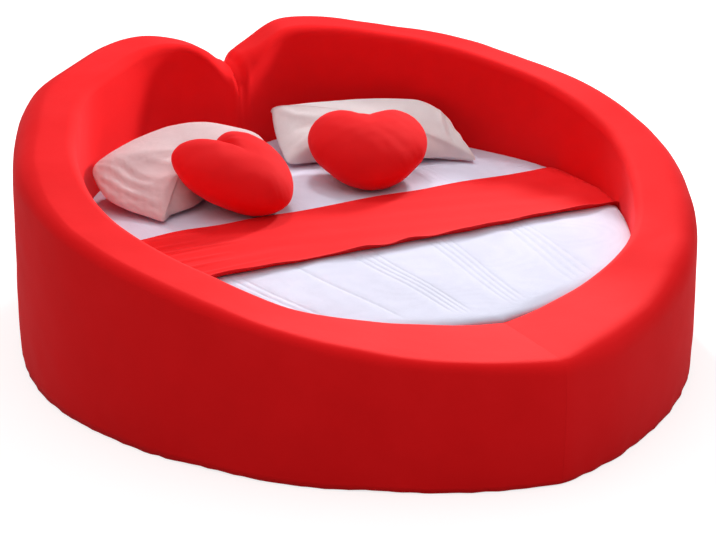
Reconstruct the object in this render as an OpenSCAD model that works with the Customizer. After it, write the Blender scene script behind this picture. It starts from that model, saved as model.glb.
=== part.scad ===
// Heart-shaped upholstered bed: a padded surround wall in two halves, a slatted deck
// on a centre beam, a quilted mattress, a cross runner, pillows and heart cushions.
// Units are millimetres. The origin is on the floor under the middle of the bed,
// +Y points to the head (the cleft of the heart), +X to the sleeper's right, +Z up.

/* [Bed] */
// Overall width of the surround
bed_w = 2200; // [1900:50:2500]
// Overall length, from the point at the foot to the lobes at the head
bed_l = 2440; // [2200:20:2700]
// Height of the surround over the lobes at the head
head_h = 800; // [700:10:1000]
// Height of the surround at the point of the foot
foot_h = 385; // [365:5:450]

/* [Surround wall] */
// Thickness of the padded wall along its sides
wall_t = 205; // [180:5:240]
// Thickness of the padded wall at the point of the foot
foot_wall_t = 360; // [320:10:400]
// Rounding of the wall's top edge on the outside
outer_round = 96; // [50:2:100]
// Rounding of the wall's top edge on the inside
inner_round = 74; // [24:2:78]
// Velvet cover together with its fleece backing
cover_t = 2; // [1.5:0.5:3]
// Foam on the sides of the plywood box, cover included
pad_t = 27; // [22:1:32]
// Foam on top of the plywood box, cover included
top_pad_t = 60; // [45:5:70]
// Width of the cover turned under the wall on the outside
hem_w = 46; // [44:1:50]

/* [Plywood box] */
// Bent plywood panels on both faces of the wall
panel_t = 6; // [4:1:8]
// Flexible strip bent over the uprights
strip_t = 6; // [4:1:8]
// Base plate that the uprights stand on
plate_t = 18; // [15:1:22]
// Thickness of the uprights
stud_t = 27; // [22:1:32]
// Felt glides under the base plate and the legs
glide_h = 6; // [5:1:8]
// Diameter of a felt glide
glide_d = 44; // [36:2:50]

/* [Deck] */
// Top of the slats above the floor
deck_z = 190; // [170:5:210]
// Thickness of a slat
slat_t = 18; // [14:1:22]
// Width of a slat
slat_w = 70; // [60:5:80]
// Clear gap between two slats
slat_gap = 45; // [35:5:60]
// Thickness of the webbing that spaces the slats
webbing_t = 1.5; // [1:0.5:2]
// Width of the webbing
webbing_w = 25; // [20:5:35]
// Distance between two webbing straps
webbing_x = 340; // [250:10:450]
// Width of the curved batten that carries the slats
batten_w = 34; // [30:1:40]
// Height of the curved batten
batten_h = 44; // [38:2:50]
// Width of the centre beam
beam_w = 64; // [56:2:72]
// Height of the centre beam
beam_h = 80; // [70:5:100]
// Height of the tongue that lies in the batten's notch
tongue_h = 22; // [18:1:26]
// Side of a square centre leg
leg_w = 56; // [48:2:62]
// Distance between two centre legs
leg_pitch = 560; // [450:10:620]

/* [Fasteners] */
// Diameter of the bolts that join the two halves
bolt_d = 8; // [6:1:10]
// Diameter of a washer
washer_d = 24; // [20:1:28]
// Thickness of a washer
washer_t = 2; // [1.5:0.5:2.5]
// Height of a nut and of a bolt head
nut_h = 6.5; // [5:0.5:8]
// Width across the corners of a nut and of a bolt head
nut_d = 15; // [13:1:18]
// Clearance all round a bolt in its hole
bolt_play = 0.5; // [0.3:0.1:0.8]
// Height above the floor of the lowest joining bolt
bolt_z = 95; // [80:5:110]
// Distance between joining bolts at the head
head_bolt_pitch = 200; // [160:10:220]
// Distance between joining bolts at the foot
foot_bolt_pitch = 130; // [110:10:140]
// Diameter of the dowel between a leg and the beam
dowel_d = 12; // [10:1:16]
// Length of the dowel
dowel_l = 70; // [50:5:80]
// Diameter of a screw through the beam's tongue
screw_d = 5; // [4:0.5:6]
// Length of that screw
screw_l = 38; // [30:2:40]

/* [Mattress] */
// Top of the mattress above the deck, at its edge
mattress_t = 213; // [190:5:225]
// Extra height in the middle of the mattress
crown_h = 9; // [4:1:14]
// Room between the mattress and the wall
mattress_play = 6; // [5:0.5:8]
// Fabric panel under the mattress
base_panel_t = 4; // [3:1:6]
// Fabric band round the mattress
border_t = 4; // [3:1:6]
// Thickness of the quilted panel on top, at its edge
quilt_edge_t = 22; // [18:1:28]
// Rounding of the quilted panel's edge, seen in section
shoulder = 46; // [36:2:56]
// Depth of a stitched channel
channel_h = 7; // [4:1:9]
// Distance between the stitch lines of one group
channel_pitch = 26; // [22:1:32]

/* [Runner] */
// Width of the cross runner, from head to foot
runner_w = 414; // [360:6:480]
// Thickness of the runner
runner_t = 3; // [2:0.5:3]
// Distance of the runner's middle from the middle of the bed, to the foot
runner_back = 12; // [0:2:40]
// Depth to which the runner's ends are tucked in
tuck_h = 110; // [80:5:130]
// Height of the runner's folds
fold_h = 5; // [2:1:8]

/* [Pillows] */
// Length of a pillow
pillow_l = 650; // [600:10:660]
// Depth of a pillow from its front to its back edge
pillow_w = 370; // [340:5:375]
// Height of a pillow's back edge above the mattress
pillow_h = 150; // [130:5:155]
// Front corner of the right pillow, to the right of the middle
right_corner_x = 50; // [40:2:60]
// Front corner of the right pillow, back from the head end of the bed
right_corner_back = 602; // [600:2:620]
// Front corner of the left pillow, to the left of the middle
left_corner_x = 540; // [530:2:545]
// Front corner of the left pillow, back from the head end of the bed
left_corner_back = 890; // [888:2:910]

/* [Heart cushions] */
// Width of a heart cushion
heart_w = 412; // [380:4:420]
// Length of a heart cushion, from its lobes to its point
heart_l = 410; // [380:5:420]
// Thickness of a heart cushion
heart_t = 200; // [180:5:205]

/* [Hidden] */

// Running gap between two pieces that lie against each other
seat = 0.3;
// Small overrun for cuts
over = 1;
// Facets round a full circle
$fn = 48;

// Knots of the right half's outline, from the cleft at the head to the point at the foot.
// Each row: reach in X as a share of half the width, place in Y as a share of the length,
// height as a share of the rise from foot to head, thickness as a share of the side wall,
// and the share of the extra thickness at the foot.
knot_shares = [
    [0.000, 0.450, 0.740, 0.85, 0.00],
    [0.105, 0.477, 0.890, 1.02, 0.00],
    [0.250, 0.500, 0.993, 1.15, 0.00],
    [0.400, 0.485, 0.988, 1.15, 0.00],
    [0.550, 0.433, 0.960, 1.08, 0.00],
    [0.735, 0.358, 0.910, 1.08, 0.00],
    [0.872, 0.247, 0.840, 1.00, 0.00],
    [0.978, 0.116, 0.730, 0.98, 0.00],
    [0.992, -0.041, 0.565, 0.94, 0.00],
    [0.879, -0.191, 0.410, 0.96, 0.00],
    [0.677, -0.326, 0.235, 1.00, 0.05],
    [0.444, -0.412, 0.095, 1.00, 0.50],
    [0.218, -0.468, 0.040, 1.00, 0.78],
    [0.000, -0.500, 0.000, 1.00, 1.00]
];
// Rings between two knots
ring_steps = 3;
// Steps round each rounded edge of the wall
round_steps = 4;
// Place of the hub that the wall's cross sections point to, as a share of the length
hub_share = 0.038;
// Largest share of the wall's thickness that each rounding may take
outer_round_share = 0.55;
inner_round_share = 0.43;

last_knot = len(knot_shares) - 1;
cover_z = glide_h - seat - cover_t;
batten_z = deck_z - slat_t;
pad_foot_z = deck_z + webbing_t + 2 * cover_t;
box_in = pad_t + seat + panel_t + seat;
stud_z = glide_h + plate_t;

// Smooth curve through the knots, carried straight on past both ends
function knot(i) =
    i < 0 ? 2 * knot_shares[0] - knot_shares[1]
    : i > last_knot ? 2 * knot_shares[last_knot] - knot_shares[last_knot - 1]
    : knot_shares[i];
function curve(a, b, c, d, t) =
    (2 * b + (c - a) * t + (2 * a - 5 * b + 4 * c - d) * t * t
    + (3 * b - a - 3 * c + d) * t * t * t) / 2;

// A ring is one cross section of the wall: outer point, way to the hub, thickness, top
function ring(s) =
    let (p = [s[0] * bed_w / 2, s[1] * bed_l], way = [0, hub_share * bed_l] - p)
    [p, way / norm(way), wall_t * s[3] + (foot_wall_t - wall_t) * s[4],
        foot_h + (head_h - foot_h) * s[2]];
rings = concat(
    [for (i = [0 : last_knot - 1], j = [0 : ring_steps - 1])
        ring(curve(knot(i - 1), knot(i), knot(i + 1), knot(i + 2), j / ring_steps))],
    [ring(knot_shares[last_knot])]);
last_ring = len(rings) - 1;

// Point of a ring at depth u from the outside, and the same at height z
function at(r, u) = r[0] + r[1] * u;
function place(r, uz) = [each at(r, uz[0]), uz[1]];
// Half outline that lies `in` past the wall's inner face, towards the hub
function half_line(in) = [for (r = rings) at(r, r[2] + in)];
function reversed(list) = [for (i = [len(list) - 1 : -1 : 0]) list[i]];
// The same outline on both sides of the bed, as one loop
function loop(in) =
    let (half = half_line(in))
    concat(half, [for (i = [last_ring - 1 : -1 : 1]) [-half[i][0], half[i][1]]]);

// Section line of the wall at inset e, from its outer foot over the top to its inner foot
function rounded_top(r, e) =
    let (a = min(outer_round, r[2] * outer_round_share), b = min(inner_round, r[2] * inner_round_share))
    concat(
        [for (k = [0 : round_steps]) let (t = 180 - 90 * k / round_steps)
            [a + (a - e) * cos(t), r[3] - a + (a - e) * sin(t)]],
        [for (k = [0 : round_steps]) let (t = 90 - 90 * k / round_steps)
            [r[2] - b + (b - e) * cos(t), r[3] - b + (b - e) * sin(t)]]);

// Solid between an outer and an inner sheet that both run along the rings. Mates gives, for
// each point of an outer section, the point of the inner section that it is joined to.
module between(outer, inner, mates = []) {
    m = len(outer[0]);
    k = len(inner[0]);
    n = len(outer);
    step = m + k;
    mate = len(mates) == 0 ? [for (j = [0 : m - 1]) j] : mates;
    function o(i, j) = i * step + j;
    function b(i, j) = i * step + m + j;
    polyhedron(
        points = [for (i = [0 : n - 1]) each concat(outer[i], inner[i])],
        faces = concat(
            [for (i = [0 : n - 2], j = [0 : m - 2]) [o(i, j), o(i + 1, j), o(i + 1, j + 1)]],
            [for (i = [0 : n - 2], j = [0 : m - 2]) [o(i, j), o(i + 1, j + 1), o(i, j + 1)]],
            [for (i = [0 : n - 2], j = [0 : k - 2]) [b(i, j), b(i + 1, j + 1), b(i + 1, j)]],
            [for (i = [0 : n - 2], j = [0 : k - 2]) [b(i, j), b(i, j + 1), b(i + 1, j + 1)]],
            [for (i = [0 : n - 2]) [o(i, 0), b(i, 0), b(i + 1, 0)]],
            [for (i = [0 : n - 2]) [o(i, 0), b(i + 1, 0), o(i + 1, 0)]],
            [for (i = [0 : n - 2]) [o(i, m - 1), b(i + 1, k - 1), b(i, k - 1)]],
            [for (i = [0 : n - 2]) [o(i, m - 1), o(i + 1, m - 1), b(i + 1, k - 1)]],
            [for (j = [0 : m - 2]) [o(0, j), o(0, j + 1), b(0, mate[j + 1])]],
            [for (j = [0 : m - 2]) if (mate[j] != mate[j + 1])
                [o(0, j), b(0, mate[j + 1]), b(0, mate[j])]],
            [for (j = [0 : m - 2]) [o(n - 1, j), b(n - 1, mate[j + 1]), o(n - 1, j + 1)]],
            [for (j = [0 : m - 2]) if (mate[j] != mate[j + 1])
                [o(n - 1, j), b(n - 1, mate[j]), b(n - 1, mate[j + 1])]]
        ));
}

module left_side() {
    mirror([1, 0, 0]) children();
}

// Velvet cover over one half of the wall, hemmed under both edges
module wall_cover() {
    between(
        [for (r = rings) [for (p = concat(
            [[hem_w, cover_z], [0, cover_z]], rounded_top(r, 0),
            [[r[2], pad_foot_z], [r[2] - pad_t + seat, pad_foot_z]])) place(r, p)]],
        [for (r = rings) [for (p = concat(
            [[hem_w, cover_z + cover_t], [cover_t, cover_z + cover_t]], rounded_top(r, cover_t),
            [[r[2] - cover_t, pad_foot_z + cover_t], [r[2] - pad_t + seat, pad_foot_z + cover_t]]))
            place(r, p)]]);
}

// Foam glued over the plywood box
module wall_foam() {
    e = cover_t + seat;
    foot_z = pad_foot_z + cover_t + seat;
    between(
        [for (r = rings) [for (p = concat(
            [[e, glide_h]], rounded_top(r, e), [[r[2] - e, foot_z]])) place(r, p)]],
        [for (r = rings) [for (p = [
            [pad_t, glide_h], [pad_t, r[3] - top_pad_t],
            [r[2] - pad_t, r[3] - top_pad_t], [r[2] - pad_t, foot_z]]) place(r, p)]],
        concat([0], [for (k = [0 : round_steps]) 1], [for (k = [0 : round_steps]) 2], [3]));
}

function panel_top(r) = r[3] - top_pad_t - strip_t - 2 * seat;

// Bent plywood on the outside of the box
module outer_panel() {
    u = pad_t + seat;
    between(
        [for (r = rings) [place(r, [u, glide_h]), place(r, [u, panel_top(r)])]],
        [for (r = rings) [place(r, [u + panel_t, glide_h]), place(r, [u + panel_t, panel_top(r)])]]);
}

// Bent plywood on the inside of the box
module inner_panel() {
    u = pad_t + seat;
    between(
        [for (r = rings) [place(r, [r[2] - u, panel_top(r)]), place(r, [r[2] - u, glide_h])]],
        [for (r = rings) [place(r, [r[2] - u - panel_t, panel_top(r)]),
            place(r, [r[2] - u - panel_t, glide_h])]]);
}

// Strip bent over the uprights, following the slope of the rim
module top_strip() {
    u = pad_t + seat;
    between(
        [for (r = rings) [place(r, [u, panel_top(r) + seat + strip_t]),
            place(r, [r[2] - u, panel_top(r) + seat + strip_t])]],
        [for (r = rings) [place(r, [u, panel_top(r) + seat]),
            place(r, [r[2] - u, panel_top(r) + seat])]]);
}

// Plywood plate that closes the box at the floor
module base_plate() {
    translate([0, 0, glide_h])
        linear_extrude(height = plate_t)
            polygon(concat([for (r = rings) at(r, box_in)], reversed(half_line(-box_in))));
}

// Footprint of an upright at ring i, following the bend of both panels
function upright_points(i) =
    let (
        r = rings[i],
        whole = i == 0 || i == last_ring ? 1 : 0.5,
        sides = [for (s = [-1, 1]) if (i + s >= 0 && i + s <= last_ring) rings[i + s]],
        near = [for (n = sides) let (f = stud_t * whole / norm(n[0] - r[0]))
            [at(r, box_in) * (1 - f) + at(n, box_in) * f,
                at(r, r[2] - box_in) * (1 - f) + at(n, n[2] - box_in) * f,
                panel_top(r) * (1 - f) + panel_top(n) * f]])
    len(sides) == 2
    ? [[near[0][0], at(r, box_in), near[1][0], near[1][1], at(r, r[2] - box_in), near[0][1]],
        min(near[0][2], near[1][2], panel_top(r))]
    : [[at(r, box_in), near[0][0], near[0][1], at(r, r[2] - box_in)], min(near[0][2], panel_top(r))];

// Joining bolts: place along Y and height, three at the head and two at the foot
bolt_spots = concat(
    [for (k = [0 : 2]) [at(rings[0], rings[0][2] / 2)[1], bolt_z + k * head_bolt_pitch]],
    [for (k = [0 : 1]) [at(rings[last_ring], rings[last_ring][2] / 2)[1], bolt_z + k * foot_bolt_pitch]]);

module at_bolts() {
    for (s = bolt_spots)
        translate([0, s[0], s[1]]) rotate([0, 90, 0]) children();
}

// Uprights of one half, the end ones bored for the joining bolts
module uprights() {
    difference() {
        for (i = [0 : ring_steps : last_ring])
            translate([0, 0, stud_z])
                linear_extrude(height = upright_points(i)[1] - seat - stud_z)
                    polygon(upright_points(i)[0]);
        at_bolts() cylinder(d = bolt_d + 2 * bolt_play, h = 4 * stud_t, center = true);
    }
}

// Part of the half outline near the middle of the bed, at the head and at the foot
near_rings = 6;
function head_part(in) = [for (i = [0 : near_rings]) at(rings[i], rings[i][2] + in)];
function foot_part(in) =
    [for (i = [last_ring : -1 : last_ring - near_rings]) at(rings[i], rings[i][2] + in)];
// Ends of a bar of the given width between the two outlines
function head_end(in, w) = min(lookup(0, head_part(in)), lookup(w / 2, head_part(in))) - seat;
function foot_end(in, w) = max(lookup(0, foot_part(in)), lookup(w / 2, foot_part(in))) + seat;

beam_y0 = foot_end(batten_w - pad_t, beam_w);
beam_y1 = head_end(batten_w - pad_t, beam_w);
tongue_y0 = foot_end(-pad_t, beam_w);
tongue_y1 = head_end(-pad_t, beam_w);
leg_ys = [for (k = [-1 : 1]) (beam_y0 + beam_y1) / 2 + k * leg_pitch];
// Screws through the tongues: X, then Y in the middle of the batten
screw_spots = [for (x = [-beam_w / 4, beam_w / 4],
    y = [lookup(beam_w / 4, head_part(batten_w / 2 - pad_t)), lookup(beam_w / 4, foot_part(batten_w / 2 - pad_t))])
    [x, y]];

// Curved batten of one half, notched for the beam's tongues
module batten() {
    difference() {
        translate([0, 0, batten_z - batten_h])
            linear_extrude(height = batten_h)
                polygon(concat(half_line(-pad_t), reversed(half_line(batten_w - pad_t))));
        for (y = [tongue_y0, beam_y1])
            translate([-beam_w / 2 - seat, y - batten_w, batten_z - tongue_h])
                cube([beam_w + 2 * seat, 3 * batten_w, tongue_h + over]);
        screw_holes(seat);
    }
}

module screw_holes(gap) {
    for (s = screw_spots)
        translate([s[0], s[1], batten_z - screw_l - gap])
            cylinder(d = screw_d + 2 * gap, h = screw_l + over + gap);
}

// Centre beam: a bar with a tongue at each end that lies in the battens' notches
module centre_beam() {
    difference() {
        union() {
            translate([-beam_w / 2, beam_y0, batten_z - beam_h])
                cube([beam_w, beam_y1 - beam_y0, beam_h]);
            translate([-beam_w / 2, tongue_y0, batten_z - tongue_h])
                cube([beam_w, tongue_y1 - tongue_y0, tongue_h]);
        }
        screw_holes(seat);
        for (s = screw_spots)
            translate([s[0], s[1], batten_z - screw_d / 2])
                cylinder(d1 = screw_d + 2 * seat, d2 = 2 * screw_d + 4 * seat, h = screw_d / 2 + seat);
        for (y = leg_ys)
            translate([0, y, batten_z - beam_h - over])
                cylinder(d = dowel_d + 2 * seat, h = dowel_l / 2 + over + seat);
    }
}

module beam_screws() {
    for (s = screw_spots)
        translate([s[0], s[1], batten_z]) {
            translate([0, 0, -screw_l]) cylinder(d = screw_d, h = screw_l);
            translate([0, 0, -screw_d / 2]) cylinder(d1 = screw_d, d2 = 2 * screw_d, h = screw_d / 2);
        }
}

module centre_legs() {
    for (y = leg_ys)
        difference() {
            translate([-leg_w / 2, y - leg_w / 2, glide_h])
                cube([leg_w, leg_w, batten_z - beam_h - glide_h]);
            translate([0, y, batten_z - beam_h - dowel_l / 2 - seat])
                cylinder(d = dowel_d + 2 * seat, h = dowel_l);
        }
}

module leg_dowels() {
    for (y = leg_ys)
        translate([0, y, batten_z - beam_h - dowel_l / 2]) cylinder(d = dowel_d, h = dowel_l);
}

module leg_glides() {
    for (y = leg_ys)
        translate([0, y, 0]) cylinder(d = glide_d, h = glide_h);
}

// Felt glides under every knot of the base plate, ends left out
module floor_glides() {
    for (i = [ring_steps : ring_steps : last_ring - ring_steps], s = [-1, 1])
        let (p = at(rings[i], rings[i][2] / 2))
            translate([s * p[0], p[1], 0]) cylinder(d = glide_d, h = glide_h);
}

module join_bolts() {
    grip = 2 * stud_t + 2 * washer_t;
    at_bolts() {
        translate([0, 0, -stud_t - washer_t - nut_h]) cylinder(d = nut_d, h = nut_h, $fn = 6);
        translate([0, 0, -stud_t - washer_t - nut_h / 2])
            cylinder(d = bolt_d, h = grip + 2 * nut_h);
    }
}

module join_nuts() {
    at_bolts()
        translate([0, 0, stud_t + washer_t])
            difference() {
                cylinder(d = nut_d, h = nut_h, $fn = 6);
                translate([0, 0, -over]) cylinder(d = bolt_d + seat, h = nut_h + 2 * over);
            }
}

module join_washers() {
    at_bolts()
        for (z = [-stud_t - washer_t, stud_t])
            translate([0, 0, z])
                difference() {
                    cylinder(d = washer_d, h = washer_t);
                    translate([0, 0, -over]) cylinder(d = bolt_d + seat, h = washer_t + 2 * over);
                }
}

// Rows of slats, from the foot to the head
slat_pitch = slat_w + slat_gap;
slat_play = 4 * seat;
room = half_line(slat_play - pad_t);
slat_y0 = room[last_ring][1] + slat_gap;
slat_count = floor((max([for (p = room) p[1]]) - slat_y0) / slat_pitch);

module slats() {
    intersection() {
        translate([0, 0, batten_z]) linear_extrude(height = slat_t) polygon(room);
        for (k = [0 : slat_count - 1])
            translate([slat_play, slat_y0 + k * slat_pitch, batten_z - over])
                cube([bed_w, slat_w, slat_t + 2 * over]);
    }
}

// Half outlines as Y over X, split at the widest place
function widest(line) = search(max([for (p = line) p[0]]), [for (p = line) p[0]])[0];
function head_side(line) = [for (i = [0 : widest(line)]) line[i]];
function foot_side(line) = [for (i = [len(line) - 1 : -1 : widest(line)]) line[i]];

// Webbing stapled along the slats, two straps on each half
module slat_webbing() {
    for (k = [0.5, 1.5], s = [-1, 1])
        let (
            x = webbing_x * k,
            first = ceil((lookup(x + webbing_w, foot_side(room)) - slat_y0) / slat_pitch),
            last = floor((lookup(x - webbing_w, head_side(room)) - slat_y0 - slat_w) / slat_pitch),
            y0 = slat_y0 + first * slat_pitch,
            y1 = slat_y0 + last * slat_pitch + slat_w)
        translate([s * x - webbing_w / 2, y0, deck_z]) cube([webbing_w, y1 - y0, webbing_t]);
}

mattress_z = deck_z + webbing_t + seat;
quilt_z = deck_z + mattress_t - quilt_edge_t;
side_line = half_line(mattress_play);

module mattress_base_panel() {
    translate([0, 0, mattress_z])
        linear_extrude(height = base_panel_t) polygon(loop(mattress_play));
}

module mattress_core() {
    z = mattress_z + base_panel_t + seat;
    translate([0, 0, z])
        linear_extrude(height = quilt_z - seat - z) polygon(loop(mattress_play + border_t + seat));
}

module mattress_border() {
    z = mattress_z + base_panel_t + seat;
    translate([0, 0, z])
        linear_extrude(height = quilt_z - seat - z)
            difference() {
                polygon(loop(mattress_play));
                polygon(loop(mattress_play + border_t));
            }
}

// Height of the quilted panel's rim, before it rounds up to its full thickness
quilt_rim_share = 0.3;
quilt_rim = quilt_edge_t * quilt_rim_share;

// Distance from a point to the nearest stretch of a line
function to_stretch(p, a, b) =
    let (ab = b - a, t = max(0, min(1, (p - a) * ab / (ab * ab))))
    norm(p - a - ab * t);
function to_line(p, line) = min([for (i = [0 : len(line) - 2]) to_stretch(p, line[i], line[i + 1])]);

// Top of the mattress without its channels
function mattress_top(x, y) =
    let (
        d = min(to_line([abs(x), y], side_line) / shoulder, 1),
        half = max([for (p = side_line) p[0]]),
        mid = hub_share * bed_l,
        cx = 1 - pow(x / half, 2),
        cy = 1 - pow((y - mid) / half, 2))
    quilt_z + quilt_rim + (quilt_edge_t - quilt_rim) * sqrt(1 - pow(1 - d, 2))
    + crown_h * max(0, cx) * max(0, cy);

// Stitched channels: middles of the groups as shares of the mattress's half width
group_shares = [-0.595, -0.15, 0.16, 0.47];
group_lines = 4;
lone_line_share = -0.355;
half_mattress = max([for (p = side_line) p[0]]);
stitch_xs = concat(
    [for (g = group_shares, k = [0 : group_lines - 1])
        g * half_mattress + (k - (group_lines - 1) / 2) * channel_pitch],
    [lone_line_share * half_mattress]);

// Columns of the quilted panel: plain ones, and three for each stitch line
plain_shares = [0.997, 0.98, 0.945, 0.89, 0.81, 0.71, 0.61, 0.46, 0.3, 0.18];
function sorted(list) =
    len(list) < 2 ? list
    : let (p = list[floor(len(list) / 2)])
        concat(sorted([for (v = list) if (v < p) v]), [for (v = list) if (v == p) v],
            sorted([for (v = list) if (v > p) v]));
function clear_of(x, xs) = min([for (s = xs) abs(x - s)]) > 0.9 * channel_pitch;
stitch_edges = concat(
    [for (g = group_shares, k = [0 : group_lines])
        g * half_mattress + (k - group_lines / 2) * channel_pitch],
    [for (s = [-1, 1]) lone_line_share * half_mattress + s * channel_pitch / 2]);
quilt_xs = sorted(concat(stitch_xs, stitch_edges,
    [for (p = concat(plain_shares, [0], -plain_shares)) if (clear_of(p * half_mattress, stitch_xs))
        p * half_mattress]));

// Rows of one column, close together on the rounded edge
edge_shares = [0, 0.12, 0.45, 1];
function quilt_ys(x) =
    let (
        y0 = lookup(abs(x), foot_side(side_line)),
        y1 = lookup(abs(x), head_side(side_line)),
        e = [for (s = edge_shares) min(s * shoulder, (y1 - y0) * s * 0.4)],
        y2 = y0 + e[3],
        run = y1 - e[3] - y2)
    concat([for (v = e) y0 + v], [for (k = [1 : 3]) y2 + run * k / 4], [for (v = reversed(e)) y1 - v]);

// The channels are deep on the open part of the mattress and faint under the pillows
function channel(x, y) =
    len([for (s = stitch_xs) if (s == x) s]) == 0 ? 0
    : channel_h * (y < runner_w / 2 - runner_back ? 1 : 0.3);

// Quilted top of the mattress, with its crown, rounded edge and stitched channels
module quilted_top() {
    rows = [for (x = quilt_xs) quilt_ys(x)];
    m = len(rows[0]);
    n = len(quilt_xs);
    function t(i, j) = i * (m + 2) + j;
    function b(i, j) = i * (m + 2) + m + j;
    polyhedron(
        points = [for (i = [0 : n - 1]) let (x = quilt_xs[i]) each concat(
            [for (j = [0 : m - 1]) let (y = rows[i][j])
                [x, y, mattress_top(x, y) - (j > 1 && j < m - 2 ? channel(x, y) : 0)]],
            [[x, rows[i][0], quilt_z], [x, rows[i][m - 1], quilt_z]])],
        faces = concat(
            [for (i = [0 : n - 2], j = [0 : m - 2]) [t(i, j), t(i, j + 1), t(i + 1, j + 1)]],
            [for (i = [0 : n - 2], j = [0 : m - 2]) [t(i, j), t(i + 1, j + 1), t(i + 1, j)]],
            [for (i = [0 : n - 2]) [b(i, 0), b(i + 1, 0), b(i + 1, 1)]],
            [for (i = [0 : n - 2]) [b(i, 0), b(i + 1, 1), b(i, 1)]],
            [for (i = [0 : n - 2]) [b(i, 0), t(i, 0), t(i + 1, 0)]],
            [for (i = [0 : n - 2]) [b(i, 0), t(i + 1, 0), b(i + 1, 0)]],
            [for (i = [0 : n - 2]) [b(i, 1), t(i + 1, m - 1), t(i, m - 1)]],
            [for (i = [0 : n - 2]) [b(i, 1), b(i + 1, 1), t(i + 1, m - 1)]],
            [for (j = [0 : m - 2]) [b(0, 0), t(0, j + 1), t(0, j)]],
            [[b(0, 0), b(0, 1), t(0, m - 1)]],
            [for (j = [0 : m - 2]) [b(n - 1, 0), t(n - 1, j), t(n - 1, j + 1)]],
            [[b(n - 1, 0), t(n - 1, m - 1), b(n - 1, 1)]]
        ));
}

// Runner: a band laid over the mattress, its ends tucked between mattress and wall
runner_rows = 6;
runner_seat = 3 * seat;
runner_shares = [0.03, 0.1, 0.3, 0.6, 1];
runner_lean_shares = [[0.9, 0.4], [0.8, 0.6], [0.5, 0.87], [0.25, 0.97], [0, 1]];
function highest(line) = search(max([for (p = line) p[1]]), [for (p = line) p[1]])[0];
side_over_y = [for (i = [last_ring : -1 : highest(side_line)]) [side_line[i][1], side_line[i][0]]];
function fold(x, y) =
    let (w = max(0, min(1, (-x / half_mattress - 0.2) / 0.5)))
    fold_h * w * (1 + cos(360 * 2.5 * y / runner_w)) / 2;

// Path over the right half at row y: the sheet's under side (t = 0) or upper side
function runner_side(y, t, s) =
    let (x = lookup(y, side_over_y), z = quilt_z + quilt_rim, g = runner_seat)
    concat(
        [[s * (x + 2 * seat + t), z - tuck_h], [s * (x + 2 * seat + t), z + t / 2]],
        [for (k = [0 : len(runner_shares) - 1])
            let (v = x - runner_shares[k] * shoulder, lean = runner_lean_shares[k])
            [s * (v + t * lean[0]), mattress_top(v, y) + g + t * lean[1]]],
        [for (k = [4 : -1 : 1]) let (v = s * (x - shoulder) * k / 5)
            [v, mattress_top(v, y) + g + t + fold(v, y)]]);
function runner_row(y, t) =
    [for (p = concat(runner_side(y, t, -1), [[0, mattress_top(0, y) + runner_seat + t]],
        reversed(runner_side(y, t, 1)))) [p[0], y, p[1]]];

module runner() {
    y0 = -runner_back - runner_w / 2;
    ys = sorted(concat([for (k = [0 : runner_rows]) y0 + runner_w * k / runner_rows],
        [for (p = side_line) if (p[1] > y0 && p[1] < y0 + runner_w) p[1]]));
    between([for (y = ys) runner_row(y, runner_t)], [for (y = ys) runner_row(y, 0)]);
}

// Closed cushion between a seam line and its middle. Each ring of points is the seam drawn
// in by a share; top and bottom heights come from the share and the place along the seam.
module puff(seam, middle, shares, top, bottom) {
    n = len(seam);
    k = len(shares);
    function ring_points(f, z) =
        [for (i = [0 : n - 1]) let (p = middle + (seam[i] - middle) * f) [p[0], p[1], z[i]]];
    points = concat(
        [for (r = [0 : k - 1]) each ring_points(shares[r], top[r])],
        [for (r = [1 : k - 1]) each ring_points(shares[r], bottom[r])],
        [[middle[0], middle[1], top[k][0]], [middle[0], middle[1], bottom[k][0]]]);
    function t(r, i) = r * n + i % n;
    function b(r, i) = r == 0 ? i % n : (k + r - 1) * n + i % n;
    crest = len(points) - 2;
    base = len(points) - 1;
    polyhedron(
        points = points,
        faces = concat(
            [for (r = [0 : k - 2], i = [0 : n - 1]) [t(r, i), t(r + 1, i + 1), t(r, i + 1)]],
            [for (r = [0 : k - 2], i = [0 : n - 1]) [t(r, i), t(r + 1, i), t(r + 1, i + 1)]],
            [for (i = [0 : n - 1]) [t(k - 1, i), crest, t(k - 1, i + 1)]],
            [for (r = [0 : k - 2], i = [0 : n - 1]) [b(r, i), b(r, i + 1), b(r + 1, i + 1)]],
            [for (r = [0 : k - 2], i = [0 : n - 1]) [b(r, i), b(r + 1, i + 1), b(r + 1, i)]],
            [for (i = [0 : n - 1]) [b(k - 1, i), b(k - 1, i + 1), base]]
        ));
}

// Rings of a cushion from its seam inwards, and how far each has risen to the crown
puff_shares = [1, 0.97, 0.9, 0.76, 0.56, 0.3];
function rise(f) = pow(1 - f * f, 0.55);

// Closed smooth line through a ring of points
function smooth(points, steps) =
    let (n = len(points))
    [for (i = [0 : n - 1], j = [0 : steps - 1])
        curve(points[(i + n - 1) % n], points[i], points[(i + 1) % n], points[(i + 2) % n], j / steps)];

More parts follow.
